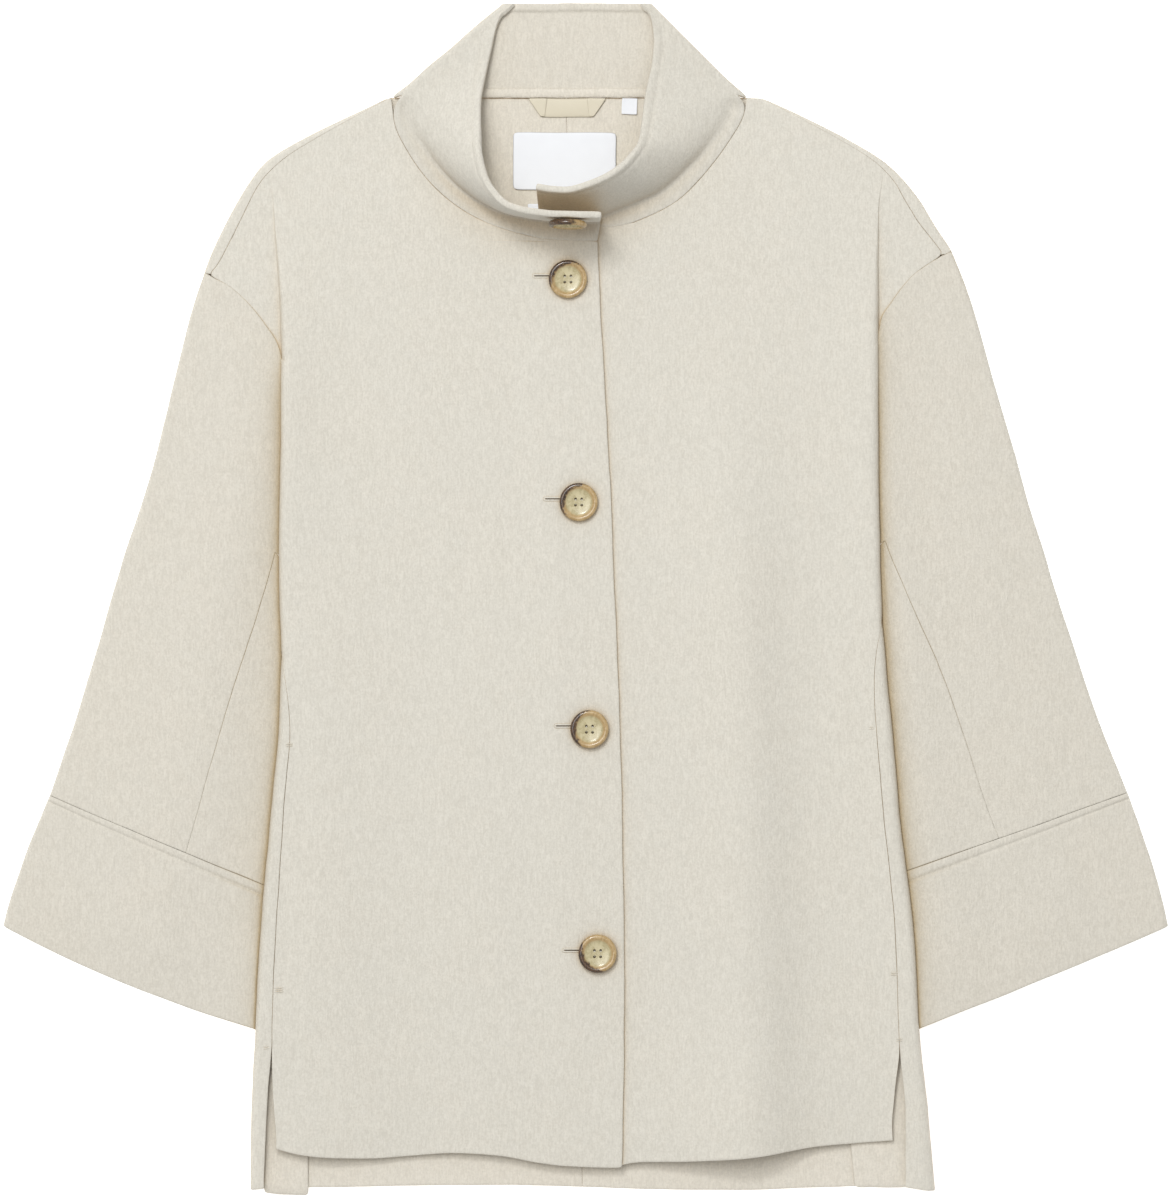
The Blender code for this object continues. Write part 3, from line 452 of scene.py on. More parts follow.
def cloth(node, grids, thickness, materials, flat=None, close_rows=False,
          suffix="_cloth", middle=REST_TOP / 2, declared=True):
    """A sheet of cloth whose outer face is one or more grids of points that share their edges.

    A point may have a fourth number, the share of the thickness that the cloth has there, and a fifth,
    how many millimetres it stands out from the face. The outer face looks away from the height middle.
    """
    shape = bmesh.new()
    shares = shape.verts.layers.deform.verify()
    reliefs = shape.verts.layers.float.new("relief")
    grids = [[[(*point, *(1.0, 0.0)[len(point) - 3:]) for point in row] for row in grid] for grid in grids]
    thickest = max(point[3] for grid in grids for row in grid for point in row)
    for grid in grids:
        rows = []
        for points in grid:
            row = []
            for point in points:
                vert = shape.verts.new(stray(point))
                vert[shares][0] = point[3] / thickest
                vert[reliefs] = point[4]
                row.append(vert)
            rows.append(row)
        for above, below in zip(rows, rows[1:]):
            for i in range(len(above) if close_rows else len(above) - 1):
                j = (i + 1) % len(above)
                shape.faces.new((above[i], above[j], below[j], below[i]))
    bmesh.ops.remove_doubles(shape, verts=shape.verts, dist=MERGE * MM)
    bmesh.ops.recalc_face_normals(shape, faces=shape.faces)
    outward = sum(f.normal.z * f.calc_area() * (f.calc_center_median().z - middle * MM) for f in shape.faces)
    if outward < 0.0:
        bmesh.ops.reverse_faces(shape, faces=shape.faces)
    shape.normal_update()
    moves = [vert.normal * vert[reliefs] * MM for vert in shape.verts]
    for vert, move in zip(shape.verts, moves):
        vert.co += move
    shape.verts.layers.float.remove(reliefs)
    area = sum(f.calc_area() for f in shape.faces)
    made = mesh_object(node + suffix, shape, materials)
    made.vertex_groups.new(name="thickness")
    wall = made.modifiers.new("thickness", "SOLIDIFY")
    wall.thickness = thickness * thickest * MM
    wall.offset = -1.0
    wall.use_quality_normals = True
    wall.vertex_group = "thickness"
    wall.thickness_vertex_group = 0.0
    wall.material_offset = len(materials) - 1
    wall.material_offset_rim = 0
    soft = made.modifiers.new("soft edges", "SUBSURF")
    soft.levels = soft.render_levels = 1
    soft.boundary_smooth = "ALL"
    finished(made, node if declared else None)
    if not declared:
        return made
    if flat is None:
        across = sum(max(length_of(row) for row in grid) for grid in grids)
        down = max(length_of([row[i] for row in grid]) for grid in grids for i in range(len(grid[0])))
        flat = (across, down)
    area = min(area, flat[0] * flat[1] * MM * MM)
    flat[0] * MM
    flat[1] * MM
    return made


def panel_cut(*grids):
    """Width and length of a body panel when it is laid out flat."""
    wide = sum(max(length_of(row) for row in grid) for grid in grids)
    levels = [point[1] for grid in grids for row in grid for point in row]
    return wide, max(levels) - min(levels)


# The body.

def zone(side, y):
    if y > ARMHOLE_TOP[side]:
        return "shoulder"
    return "armhole" if y > ARMHOLE_LOW[side] else "side"


def outline(side, y):
    """Distance of the edge, radius of its fold, and the fold's width in a section across."""
    place = zone(side, y)
    if place == "armhole":
        return ARMHOLE[side]["out"](y), REST_TOP / 2, 0.02
    edge, top = (SHOULDER, REST_TOP) if place == "shoulder" else (SIDE, SIDE_TOP)
    out = edge[side]["out"]
    slope = (out(y + 1.0) - out(y - 1.0)) / 2.0
    return out(y), top / 2, top / 2 * min(FOLD_STRETCH, math.hypot(1.0, slope))


def fold_line(side, y):
    """Where the flat of the front ends: at the pleat, or lower down at the side fold."""
    return SIDE[side]["out"](y) if zone(side, y) == "side" else PLEAT[side]["out"](y)


def pleat_depth(side, y):
    """0 where the pleat starts below the shoulder and 1 at the armpit."""
    return smooth((PLEAT_START - y) / (PLEAT_START - ARMHOLE_LOW[side])) ** 1.3


def front_height(side, x, y):
    """Top of a front that lies on the back, without the overlap."""
    inside = fold_line(side, y) - side * x
    depth = pleat_depth(side, y)
    swell = depth * (SIDE_TOP - REST_TOP) * math.exp(-((max(0.0, inside) / SIDE_SWELL) ** 2))
    calm = 1.0 - math.exp(-((max(0.0, inside) / SIDE_CALM) ** 2))
    top = REST_TOP + swell + (ridge_height(x, y) + unevenness(x, y)) * calm
    if zone(side, y) == "side":
        return top
    low = REST_TOP - PLEAT_SINK * depth
    if inside <= 0.0:
        return low + (REST_TOP - low) * smooth(-inside / PLEAT_RETURN)
    width = max(1.2, SIDE_TOP / 2 * depth)
    if inside >= width:
        return top
    return low + (top - low) * math.sqrt(1.0 - (1.0 - inside / width) ** 2)


def body_point(side, y, s):
    """A point of the body's outer face.

    s > 1 is the top, s from 1 to -1 the rounded fold, s < -1 the underside.
    """
    out, roll, width = outline(side, y)
    if abs(s) < 1.0:
        turn = s * math.pi / 2
        return side * (out - width * (1.0 - math.cos(turn))), y, roll * (1.0 + math.sin(turn))
    inset = width + (abs(s) - 1.0) * RUN
    x = side * (out - inset)
    if s < 0.0:
        return x, y, 0.0
    return x, y, mix(2 * roll, front_height(side, x, y), smooth((inset - width) / TOP_BLEND))


def parameter(side, y, inset):
    """The section parameter of a place that many millimetres inside the edge."""
    width = outline(side, y)[2]
    reach = abs(inset)
    s = math.acos(1.0 - reach / width) / (math.pi / 2) if reach < width else 1.0 + (reach - width) / RUN
    return math.copysign(s, inset)


def pocket_gape(side, y):
    """How far the side seam gapes along the pocket's mouth."""
    top, low = POCKET[side]
    return POCKET_GAPE * smooth((top - y) / POCKET_EASE) * smooth((y - low) / POCKET_EASE)


def shoulder_tip(side, y):
    """How far in from the armhole's edge the shoulder seam would run, just below the shoulder point."""
    top = ARMHOLE_TOP[side]
    return outline(side, y)[0] - SHOULDER[side]["out"](top) + SHOULDER[side]["inset"](top)


def seam_parameter(side, y, panel):
    """Where the front or the back ends at the shoulder or side seam."""
    place = zone(side, y)
    if place == "armhole":
        return parameter(side, y, shoulder_tip(side, y))
    if place == "side" and y > UNDERARM_Y[side]:
        if panel == "back":
            return -1.0
        return UNDERARM_TURN * smooth((UNDERARM_Y[side] + UNDERARM_EASE - y) / UNDERARM_EASE)
    if place == "side" and y < VENT_TOP and panel == "back":
        inset = VENT_BACK[side]["inset"](y)
    else:
        inset = (SHOULDER if place == "shoulder" else SIDE)[side]["inset"](y)
    s = parameter(side, y, inset)
    shift = pocket_gape(side, y) / 2 if place == "side" else 0.0
    if panel == "back":
        shift = -shift
    return s + shift / (RUN if abs(s) > 1.0 else outline(side, y)[1] * math.pi / 2)


def strip(first, last, count):
    """Section parameters from first to last, closer together round the fold."""
    def weight(s):
        turned = max(-1.0, min(1.0, s))
        return ROUND_SHARE * turned + s - turned

    made = []
    for w in spread(weight(first), weight(last), count):
        if abs(w) <= ROUND_SHARE:
            made.append(w / ROUND_SHARE)
        else:
            made.append(math.copysign(1.0 + abs(w) - ROUND_SHARE, w))
    return made


def lipped(values, lip):
    """The values with a last narrow step, so that the edge turns down sharply there."""
    before, last = values[-2:]
    step = min(lip, abs(last - before) * 0.4)
    return values[:-1] + [last - math.copysign(step, last - before), last]


def body_rows(side, neck, hem):
    top, low = ARMHOLE_TOP[side], ARMHOLE_LOW[side]
    shoulder = [y for y in (*neck, *SHOULDER_ROWS) if y > top + 2.0] + [top + 0.5]
    shoulder.sort(reverse=True)
    armhole = [top - down for down in ARMHOLE_ROWS] + [low + 12, low + 0.3]
    side_rows = [low - 0.3, low - 15, 78, UNDERARM_Y[side] + 0.3, UNDERARM_Y[side] - 0.3, VENT_TOP, hem]
    return fill(shoulder) + fill(armhole) + lipped(fill(side_rows), HEM_LIP)


def hem_lift(x, y):
    """The middle of the front's hem stands a little off the back."""
    return HEM_LIFT * smooth((VENT_TOP + 30.0 - y) / 100.0) * bump(x, HEM_LIFT_X, HEM_LIFT_WIDTH)


def hem_shift(point, line, hem):
    """Moves the lowest rows onto their own hem line."""
    x, y, z = point
    return x, y + (line(x) - hem) * smooth((VENT_TOP - y) / (VENT_TOP - hem)), z


def front_row(side, y, start, lift):
    """One row of a front, from its neck or lap edge to the side seam."""
    edge = outline(side, y)[0]
    room = edge - side * start
    if zone(side, y) == "side":
        crown = min(CROWN, room * CROWN_SHARE)
        turned = strip(parameter(side, y, crown), seam_parameter(side, y, "front"), CROWN_CELLS)
        turned = [body_point(side, y, s) for s in lipped(turned, SEAM_LIP / RUN)]
    else:
        if zone(side, y) == "shoulder":
            last = SHOULDER[side]["inset"](y)
        else:
            last = max(0.03, shoulder_tip(side, y))
        crease = max(edge - fold_line(side, y), last + min(1.2, room * 0.1))
        crown = min(crease + CROWN, crease + (room - crease) * CROWN_SHARE)
        width = min(max(1.2, SIDE_TOP / 2 * pleat_depth(side, y)), (crown - crease) * 0.5)
        shares = [i / CREASE_CELLS for i in range(CREASE_CELLS)]
        insets = [mix(crown, crease + width, t ** 0.7) for t in shares]
        insets += [crease + width * (1.0 - math.sin(math.pi / 2 * i / CREASE_CELLS))
                   for i in range(CREASE_CELLS)]
        left = CROWN_CELLS - 2 * CREASE_CELLS
        insets = lipped(insets + [mix(crease, last, (i / left) ** 1.5) for i in range(left + 1)], SEAM_LIP)
        turned = []
        for inset in insets:
            x = side * (edge - inset)
            if zone(side, y) == "armhole":
                turned.append((x, y, front_height(side, x, y)))
            else:
                turned.append(body_point(side, y, parameter(side, y, inset)))
    flat = spread(side * (edge - crown), start, FLAT_CELLS)
    lip = SEAM_LIP if y > WING_LOW[side] else HEM_LIP
    row = [(x, y, front_height(side, x, y)) for x in lipped(flat, lip)[:0:-1]]
    return [(x, y, z + lift(x, y)) for x, y, z in row + turned]


def front(side, node):
    over = side == LEFT
    low = WING_LOW[side]
    neck = {y for y in NECK_ROWS if y >= low} | {low + step for step in NECK_END_ROWS}
    grid = []
    for y in body_rows(side, neck, HEM_FRONT):
        if y >= low:
            start = NECK_LINE[side](y)
        else:
            start = LAP_EDGE(y) - (0.0 if over else LAP)
        lift = (lambda x, y: lap_height(x, y) + hem_lift(x, y)) if over else hem_lift
        grid.append([hem_shift(p, HEM_LINE, HEM_FRONT) for p in front_row(side, y, start, lift)])
    cloth(node, [grid], CLOTH, [WOOL["body"], WOOL["inside"]], flat=panel_cut(grid))


def back(side, node):
    panel, wrapped = [], []
    for y in body_rows(side, BACK_NECK_ROWS, HEM_BACK):
        place = zone(side, y)
        last = -1.0 if place == "armhole" else seam_parameter(side, y, "back")
        if place == "shoulder" or place == "armhole" and shoulder_tip(side, y) > 0.1:
            round_fold = strip(-1.0, seam_parameter(side, y, "back"), CREASE_CELLS * 3)
            wrapped.append([body_point(side, y, s) for s in lipped(round_fold, SEAM_LIP / RUN)])
            turned = strip(-1.0 - CROWN / RUN, -1.0, CROWN_CELLS + 1)
        else:
            turned = lipped(strip(-1.0 - CROWN / RUN, last, CROWN_CELLS), SEAM_LIP / RUN)
        turned = [body_point(side, y, s) for s in turned]
        flat = lipped(spread(turned[0][0], CENTRE_BACK(y), FLAT_CELLS), SEAM_LIP)
        row = [(x, y, 0.0) for x in flat[:0:-1]] + turned
        panel.append([hem_shift(p, BACK_HEM_LINE, HEM_BACK) for p in row])
    cloth(node, [panel, wrapped], CLOTH, [WOOL["body"], WOOL["inside"]], flat=panel_cut(panel, wrapped))


# The sleeves.

def armhole_curve(side, share):
    """The sleeve's edge at the armhole, by share of its length from the shoulder point down."""
    line = ARMHOLE_LINE[side]
    along = share * line[-1][0]
    i = max(k for k in range(len(line) - 1) if line[k][0] <= along + 1e-9)
    (a, start), (b, end) = line[i], line[i + 1]
    return start.lerp(end, (along - a) / (b - a))


def armhole_line(side):
    """Points down the armhole, each with its distance along the line."""
    top, low = ARMHOLE_TOP[side], ARMHOLE_LOW[side]
    made = []
    for y in fill([top, top - 3, top - 10, low], 1.5):
        point = Vector((ARMHOLE[side]["out"](y) + SLEEVE_GAP, y - SLEEVE_GAP))
        made.append((made[-1][0] + (point - made[-1][1]).length if made else 0.0, point))
    return made


def straight(side, ends, share, belly=0.0):
    """A row straight across the sleeve, or one whose middle lies belly further down."""
    a = Vector((side * ends[side]["outer"][0], ends[side]["outer"][1]))
    b = Vector((side * ends[side]["inner"][0], ends[side]["inner"][1]))
    down = Vector((a.y - b.y, b.x - a.x)).normalized()
    if down.y > 0.0:
        down = -down
    return a.lerp(b, share) + down * belly * 4.0 * share * (1.0 - share)


def sleeve_plan(side, v, share):
    """A place in the sleeve's plan: v is 0 at the armhole, 1 at the cuff seam, 2 at the cuff's edge."""
    if v > 1.0:
        edge = straight(side, CUFF_END, share, CUFF_BELLY[side])
        place = straight(side, CUFF_AT, share).lerp(edge, v - 1.0)
        ends = [straight(side, CUFF_AT, f).lerp(straight(side, CUFF_END, f), v - 1.0) for f in (0.0, 1.0)]
    else:
        first = [armhole_curve(side, f) for f in (0.0, 1.0)]
        ends = [first[f].lerp(straight(side, CUFF_AT, float(f)), v) for f in (0, 1)]
        bow = armhole_curve(side, clamp(share)) - first[0].lerp(first[1], share)
        place = ends[0].lerp(ends[1], share) + bow * (1.0 - v) ** 2
    place.x += (SLEEVE_FOLD[side]["out"](ends[0].y) - ends[0].x) * (1.0 - share) ** 2
    place.x += (SIDE[side]["out"](ends[1].y) - SIDE_TUCK - ends[1].x) * share ** 2
    return place


def underarm_row(side):
    """Where, between armhole and cuff, the sleeve's inner fold begins."""
    low, end = ARMHOLE_LOW[side], CUFF_AT[side]["inner"][1]
    return (low - UNDERARM_Y[side]) / (low - end)


def sleeve_height(side, v, share):
    """Top of the sleeve: soft lengthwise ridges, and lower where it lies against the body."""
    along = smooth(v / 0.6) * smooth((2.2 - v) / 0.6)
    total = REST_TOP
    rounded = math.sin(math.pi * clamp(share)) ** 0.4
    for middle, width, height, lean in SLEEVE_RIDGES[side]:
        total += height * along * bump(share, middle + lean * v, width) * rounded
    along = smooth(v / 0.12) * smooth((1.6 - v) / 0.5)
    total -= SLEEVE_SINK[side] * along * smooth((share - 0.72) / 0.28)
    place = sleeve_plan(side, v, share)
    calm = smooth(share / 0.08) * smooth((1.0 - share) / 0.08)
    return total + unevenness(side * place.x, place.y) * calm


def sleeve_point(side, v, u):
    """A point of the sleeve's outer face.

    u from 0 to 1 crosses the top from the outer to the inner fold, 1 to 2 turns round the inner
    fold, 2 to 3 crosses the underside and 3 to 4 turns round the outer fold.
    """
    roll = REST_TOP / 2
    margin = roll / (sleeve_plan(side, v, 0.0) - sleeve_plan(side, v, 1.0)).length
    flat = 1.0 - 2 * margin
    u = u % 4.0
    if u <= 1.0:
        share = margin + u * flat
        height = sleeve_height(side, v, u)
    elif u < 2.0:
        turn = math.pi / 2 * (3.0 - 2.0 * u)
        share = 1.0 - margin * (1.0 - math.cos(turn))
        height = sleeve_height(side, v, 1.0) / 2 * (1.0 + math.sin(turn))
    elif u <= 3.0:
        share = 1.0 - margin - (u - 2.0) * flat
        height = 0.0
    else:
        turn = math.pi / 2 * (2.0 * u - 7.0)
        share = margin * (1.0 - math.cos(turn))
        height = roll * (1.0 + math.sin(turn))
    place = sleeve_plan(side, v, share)
    return side * place.x, place.y, height


def sleeve(side):
    name = SIDE_NAME[side]
    start = underarm_row(side)
    gap = SLEEVE_GAP / 2 / SLEEVE_WIDTH
    end = 1.0 - SLEEVE_GAP / SLEEVE_LENGTH
    lip = SEAM_LIP / SLEEVE_LENGTH
    rows = [0.0] + lipped(fill([lip, start - 0.0003], STEP / SLEEVE_LENGTH), lip)
    rows += [start] + fill([start + lip, end], STEP / SLEEVE_LENGTH)
    rows = lipped(rows, lip)
    lip = SEAM_LIP / SLEEVE_WIDTH
    top, fold, below = [], [], []
    for v in rows:
        front_seam = FRONT_SEAM_AT[side]["share"](v)
        back_seam = 3.0 - BACK_SEAM_AT[side]["share"](v)
        across = lipped(spread(0.0, front_seam - gap, SLEEVE_CELLS), lip)[::-1]
        across = spread(TUCK if v < start else across[0], across[0], TUCK_CELLS)[:-1] + across
        across += spread(4.0, 3.0, TUCK_CELLS * 2)[1:]
        across += lipped(spread(3.0, back_seam + gap, TUCK_CELLS * 2), lip)[1:]
        top.append([sleeve_point(side, v, u) for u in across])
        across = lipped(spread(2.0, back_seam - gap, SLEEVE_CELLS // 2), lip)
        below.append([sleeve_point(side, v, u) for u in across])
        if v >= start:
            across = lipped(spread(1.0, front_seam + gap, SLEEVE_CELLS // 3), lip)[:0:-1]
            across += spread(1.0, 2.0, TUCK_CELLS * 2)
            fold.append([sleeve_point(side, v, u) for u in across])
    cloth("sleeve_top_" + name, [top], CLOTH, [WOOL["sleeve_" + name]])
    cloth("sleeve_under_" + name, [fold, below], CLOTH, [WOOL["sleeve_" + name]])


def cuff(side):
    """A band with a raised welt below its seam, and a soft groove under the welt."""
    grid = []
    for down in CUFF_ROWS + lipped(fill([CUFF_FLAT, CUFF_DEEP]), HEM_LIP):
        relief = WELT_RISE * smooth(down / 2.0) * smooth((WELT - 0.2 - down) / 2.0)
        relief -= WELT_GROOVE * bump(down, WELT, 1.1)
        row = []
        for u in spread(0.0, 4.0, SLEEVE_CELLS * 2 + 8)[:-1]:
            welt = mix(WELT_NARROW, 1.0, clamp(u if u < 2.0 else 3.0 - u))
            squeeze = mix(welt, 1.0, smooth((down - 8.0) / 40.0))
            x, y, z = sleeve_point(side, 1.0 + down * squeeze / CUFF_DEEP, u)
            row.append((x, y, z + relief if z > REST_TOP / 2 else z - min(0.0, relief)))
        grid.append(row)
    name = SIDE_NAME[side]
    cloth("cuff_" + name, [grid], CLOTH, [WOOL["sleeve_" + name]], close_rows=True)


# The collar.

def rim_shares(total):
    """Places on a line of that length, from the collar's fold or foot (1) to its free edge (0)."""
    near = [min(offset / total, limit) for offset, limit in RIM_STEPS]
    return [1.0, 0.99, 0.95, 0.9] + spread(0.9, near[-1], COLLAR_CELLS)[1:-1] + near[::-1]


def rim_relief(offset):
    """How the outer face dips beside the turned edge and swells over it."""
    return 0.35 * bump(offset, 4.0, 3.0) - RIM_GROOVE * bump(offset, RIM_WIDTH, 1.5)


def rim_thickness(offset):
    """The share of the collar's thickness that far from its free edge, which is turned and thicker."""
    return 1.0 + (RIM_SHARE - 1.0) * smooth((RIM_WIDTH - 0.8 - offset) / 1.5)


def collar_section(side, y):
    """Half a section across the folded back of the collar: from the fold to the rim, and round the fold."""
    fold, rim_x, rim_z = COLLAR_FOLD[side]["x"](y), COLLAR_RIM[side]["x"](y), COLLAR_RIM[side]["z"](y)
    roll = COLLAR_ROLL(y)
    slope = (COLLAR_FOLD[side]["x"](y + 1.0) - COLLAR_FOLD[side]["x"](y - 1.0)) / 2.0
    width = roll * math.hypot(1.0, slope)
    inner = fold - side * (width + 0.8)
    if side * (inner - rim_x) < 0.0:
        rim_x = inner - side * 1.2
    across = fold - side * width - rim_x
    total = abs(across)
    welted = smooth((total - 8.0) / 10.0)
    top = []
    for t in rim_shares(total):
        height = 2 * roll + (rim_z - 2 * roll) * (1.0 - t) ** 1.6
        share = mix(1.0, rim_thickness(t * total), welted)
        top.append((rim_x + across * t, y, height, share, rim_relief(t * total) * welted))
    arc = []
    for turn in spread(math.pi / 2, -math.pi / 2, COLLAR_CELLS):
        arc.append((fold - side * width * (1.0 - math.cos(turn)), y, roll * (1.0 + math.sin(turn)), 1.0, 0.0))
    return top, arc


def wing_line(side, row):
    """One line of a wing from the seam, over the strip that lies on the front, up to the free edge."""
    sx, sy = row["seam"]
    rx, ry, rz = row["rim"]
    away = Vector((rx - sx, ry - sy)).normalized() * row["flange"]
    ground = (over_height(sx, sy) if side == LEFT else front_height(side, sx, sy)) + FLANGE_LIFT
    foot = Vector((sx + away.x, sy + away.y, ground + 0.2))
    rim = Vector((rx, ry, rz))
    outwards = Vector((away.x, away.y, 0.0)).normalized()
    line = [(sx + away.x * t, sy + away.y * t, ground + lift, FLANGE_SHARE, relief)
            for t, lift, relief in ((0.0, 0.0, 0.0), (0.08, 0.0, 0.0), (0.55, 0.5, 0.2))]
    total = (rim - foot).length
    shares = rim_shares(total)[3:]
    for t in shares:
        up = 1.0 - (t - shares[-1]) / (shares[0] - shares[-1])
        offset = (1.0 - up) * total
        lean = WING_LEAN * math.sin(math.pi * up) * (1.0 - up) * smooth((rz - 30.0) / 15.0)
        place = foot.lerp(rim, up) - outwards * lean
        relief = rim_relief(offset) - FOOT_GROOVE * bump(up, 0.0, 0.03)
        line.append((*place, rim_thickness(offset), relief))
    return line


def between(lines, step):
    """The lines with more between them, on smooth curves through their points; the first only leads in."""
    made = []
    for i in range(1, len(lines) - 1):
        before, here, there = lines[i - 1], lines[i], lines[i + 1]
        after = lines[min(i + 2, len(lines) - 1)]
        reach = max((Vector(b[:3]) - Vector(a[:3])).length for a, b in zip(here, there))
        for t in spread(0.0, 1.0, max(1, math.ceil(reach / step)))[:-1]:
            weights = ((-t + 2 * t * t - t ** 3) / 2, (2 - 5 * t * t + 3 * t ** 3) / 2,
                       (t + 4 * t * t - 3 * t ** 3) / 2, (t ** 3 - t * t) / 2)
            made.append([tuple(sum(w * line[k][c] for w, line in zip(weights, (before, here, there, after)))
                               for c in range(5)) for k in range(len(here))])
    return made + [lines[-1]]


def wing_lines(side):
    lead = [collar_section(side, NECK_Y + COLLAR_CLEAR + step)[0] for step in (12.0, 0.0)]
    return between(lead + [wing_line(side, row) for row in WING[side]], 5.0)


def neck_line(side):
    """The seam where a wing joins its front, as distance from x = 0 by y."""
    points = [line[0] for line in wing_lines(side)]
    points = [p for p in points if p[1] < WING[side][0]["seam"][1] and side * p[0] > -LAP_END]
    return curve([NECK_Y] + [p[1] for p in points],
                 [side * (abs(points[0][0]) + 1.5)] + [p[0] for p in points])


def collar():
    grids = [[]]
    low = NECK_Y + COLLAR_CLEAR
    for y in [COLLAR_TOP - down for down in (0.0, 1.4, 3.4, 5.4, 6.6)] + fill([COLLAR_TOP - 8.0, low], 4.5):
        left_top, left_arc = collar_section(LEFT, y)
        right_top, right_arc = collar_section(RIGHT, y)
        share = rim_thickness(COLLAR_TOP - y)
        flat = [(x, y, 0.0, share, 0.0) for x in spread(left_arc[-1][0], right_arc[-1][0], 20)[1:-1]]
        grids[0].append(left_top[:0:-1] + left_arc + flat + right_arc[::-1] + right_top[1:])
    grids += [wing_lines(side) for side in (LEFT, RIGHT)]
    rows = []
    for y, z in NECK_BAND:
        rows.append([(x, y + 0.5 * noise.noise(Vector((x / 5.0, y, 0.0))), z)
                     for x in spread(*NECK_BAND_ENDS, 44)])
    band = cloth("neck_seam", [rows], NECK_BAND_CLOTH, [WOOL["inside"]], suffix="_band", middle=0.0,
                 declared=False)
    cloth("collar", grids, COLLAR_CLOTH, [WOOL["collar"], WOOL["band"]], flat=COLLAR_CUT)


# Trim.

def tape(node, low, high, thick, curl, tilt):
    """A small woven tape that lies on the inside of the back, turned by tilt, its ends raised by curl."""
    (x0, y0), (x1, y1) = low, high
    middle = Vector(((x0 + x1) / 2, (y0 + y1) / 2))
    rows = []
    for b in spread(1.0, 0.0, 8):
        row = []
        for a in spread(0.0, 1.0, 12):
            place = Vector((mix(x0, x1, a), mix(y0, y1, b))) - middle
            place.rotate(Matrix.Rotation(tilt, 2))
            place += middle
            lift = curl * (abs(2 * a - 1.0) ** 3 * 0.5 + (1.0 - b) ** 3)
            row.append((place.x, place.y, CLOTH + GAP + thick + lift))
        rows.append(row)
    cloth(node, [rows], thick, [WHITE], suffix="_tape",
          middle=0.0)


def facing(side):
    """The strip of cloth that backs the vent's edge, on the inside of the back."""
    rows = []
    for y in fill([FACING_END[side], VENT_TOP], 6.0):
        edge = outline(side, y)[0] - FACING_START
        height = CLOTH + GAP + FACING_CLOTH + 0.2 - 2.0 * smooth((HEM_BACK - 1.0 - y) / 4.0)
        corner = 1.5 * bump(y, FACING_END[side], 6.0)
        rows.append([(side * (edge - inset), y + corner * bump(inset, 0.0, 9.0), height)
                     for inset in spread(0.0, FACING[side], 9)])
    cloth("vent_facing_" + SIDE_NAME[side], [rows], FACING_CLOTH, [WOOL["inside"]],
          middle=0.0)


def add_tube(shape, path, radius, squash=1.0, steps=8, closed=False):
    """A round or flattened cord along the path, in millimetres."""
    rings = []
    count = len(path)
    for i, point in enumerate(path):
        if closed:
            before, after = path[i - 1], path[(i + 1) % count]
        else:
            before, after = path[max(0, i - 1)], path[min(count - 1, i + 1)]
        ahead = (Vector(after) - Vector(before)).normalized()
        aside = ahead.cross(Vector((0.0, 0.0, 1.0))).normalized()
        end = 0.55 if not closed and i in (0, count - 1) else 1.0
        rings.append([shape.verts.new((Vector(point) + aside * (radius * end * math.cos(a))
                                       + Vector((0, 0, radius * end * squash * math.sin(a)))) * MM)
                      for a in spread(0.0, 2 * math.pi, steps)[:-1]])
    for a, b in zip(rings, rings[1:] + (rings[:1] if closed else [])):
        for i in range(steps):
            shape.faces.new((a[i], a[(i + 1) % steps], b[(i + 1) % steps], b[i]))
    if not closed:
        shape.faces.new(rings[0][::-1])
        shape.faces.new(rings[-1])


def button_mesh():
    """A turned button: flat back, round rim, dished face and four holes."""
    shape = bmesh.new()
    rings = []
    for out, up in BUTTON_PROFILE:
        radius, height = out * BUTTON_RADIUS * MM, up * BUTTON_THICK * MM
        angles = spread(0.0, 2 * math.pi, BUTTON_STEPS)[:-1] if out else [0.0]
        rings.append([shape.verts.new((radius * math.cos(a), radius * math.sin(a), height)) for a in angles])
    for low, high in zip(rings, rings[1:]):
        for i in range(BUTTON_STEPS):
            j = (i + 1) % BUTTON_STEPS
            ring = [low[i % len(low)], low[j % len(low)], high[j % len(high)], high[i % len(high)]]
            shape.faces.new(list(dict.fromkeys(ring)))
    bmesh.ops.recalc_face_normals(shape, faces=shape.faces)
    body = mesh_object("button_body", shape, [])
    shape = bmesh.new()
    for dx, dy in HOLES:
        bmesh.ops.create_cone(shape, cap_ends=True, segments=20, radius1=HOLE_RADIUS * MM,
                              radius2=HOLE_RADIUS * MM, depth=4 * BUTTON_THICK * MM,
                              matrix=Matrix.Translation(Vector((dx, dy, 0.0)) * MM))
    drill = mesh_object("button_drill", shape, [])
    cut = body.modifiers.new("holes", "BOOLEAN")
    cut.operation, cut.solver, cut.object = "DIFFERENCE", "EXACT", drill
    mesh = bpy.data.meshes.new_from_object(body.evaluated_get(bpy.context.evaluated_depsgraph_get()))
    for spare in (body, drill):
        bpy.data.objects.remove(spare)
    mesh.shade_smooth()
    mesh.set_sharp_from_angle(angle=math.radians(50))
    return mesh


def collar_button_seat():
    """Middle and outward direction of the button on the over wing's outer face."""
    rows = WING[LEFT]
    before = wing_line(LEFT, rows[-2])
    low, high = Vector(before[2][:3]), Vector(before[-1][:3])
    along = Vector(wing_line(LEFT, rows[-1])[-1][:3]) - high
    normal = (high - low).cross(along).normalized()
    if normal.y > 0.0:
        normal = -normal
    place = low.lerp(high, COLLAR_BUTTON["height_share"])
    place.x = COLLAR_BUTTON["x"]
    return place, normal


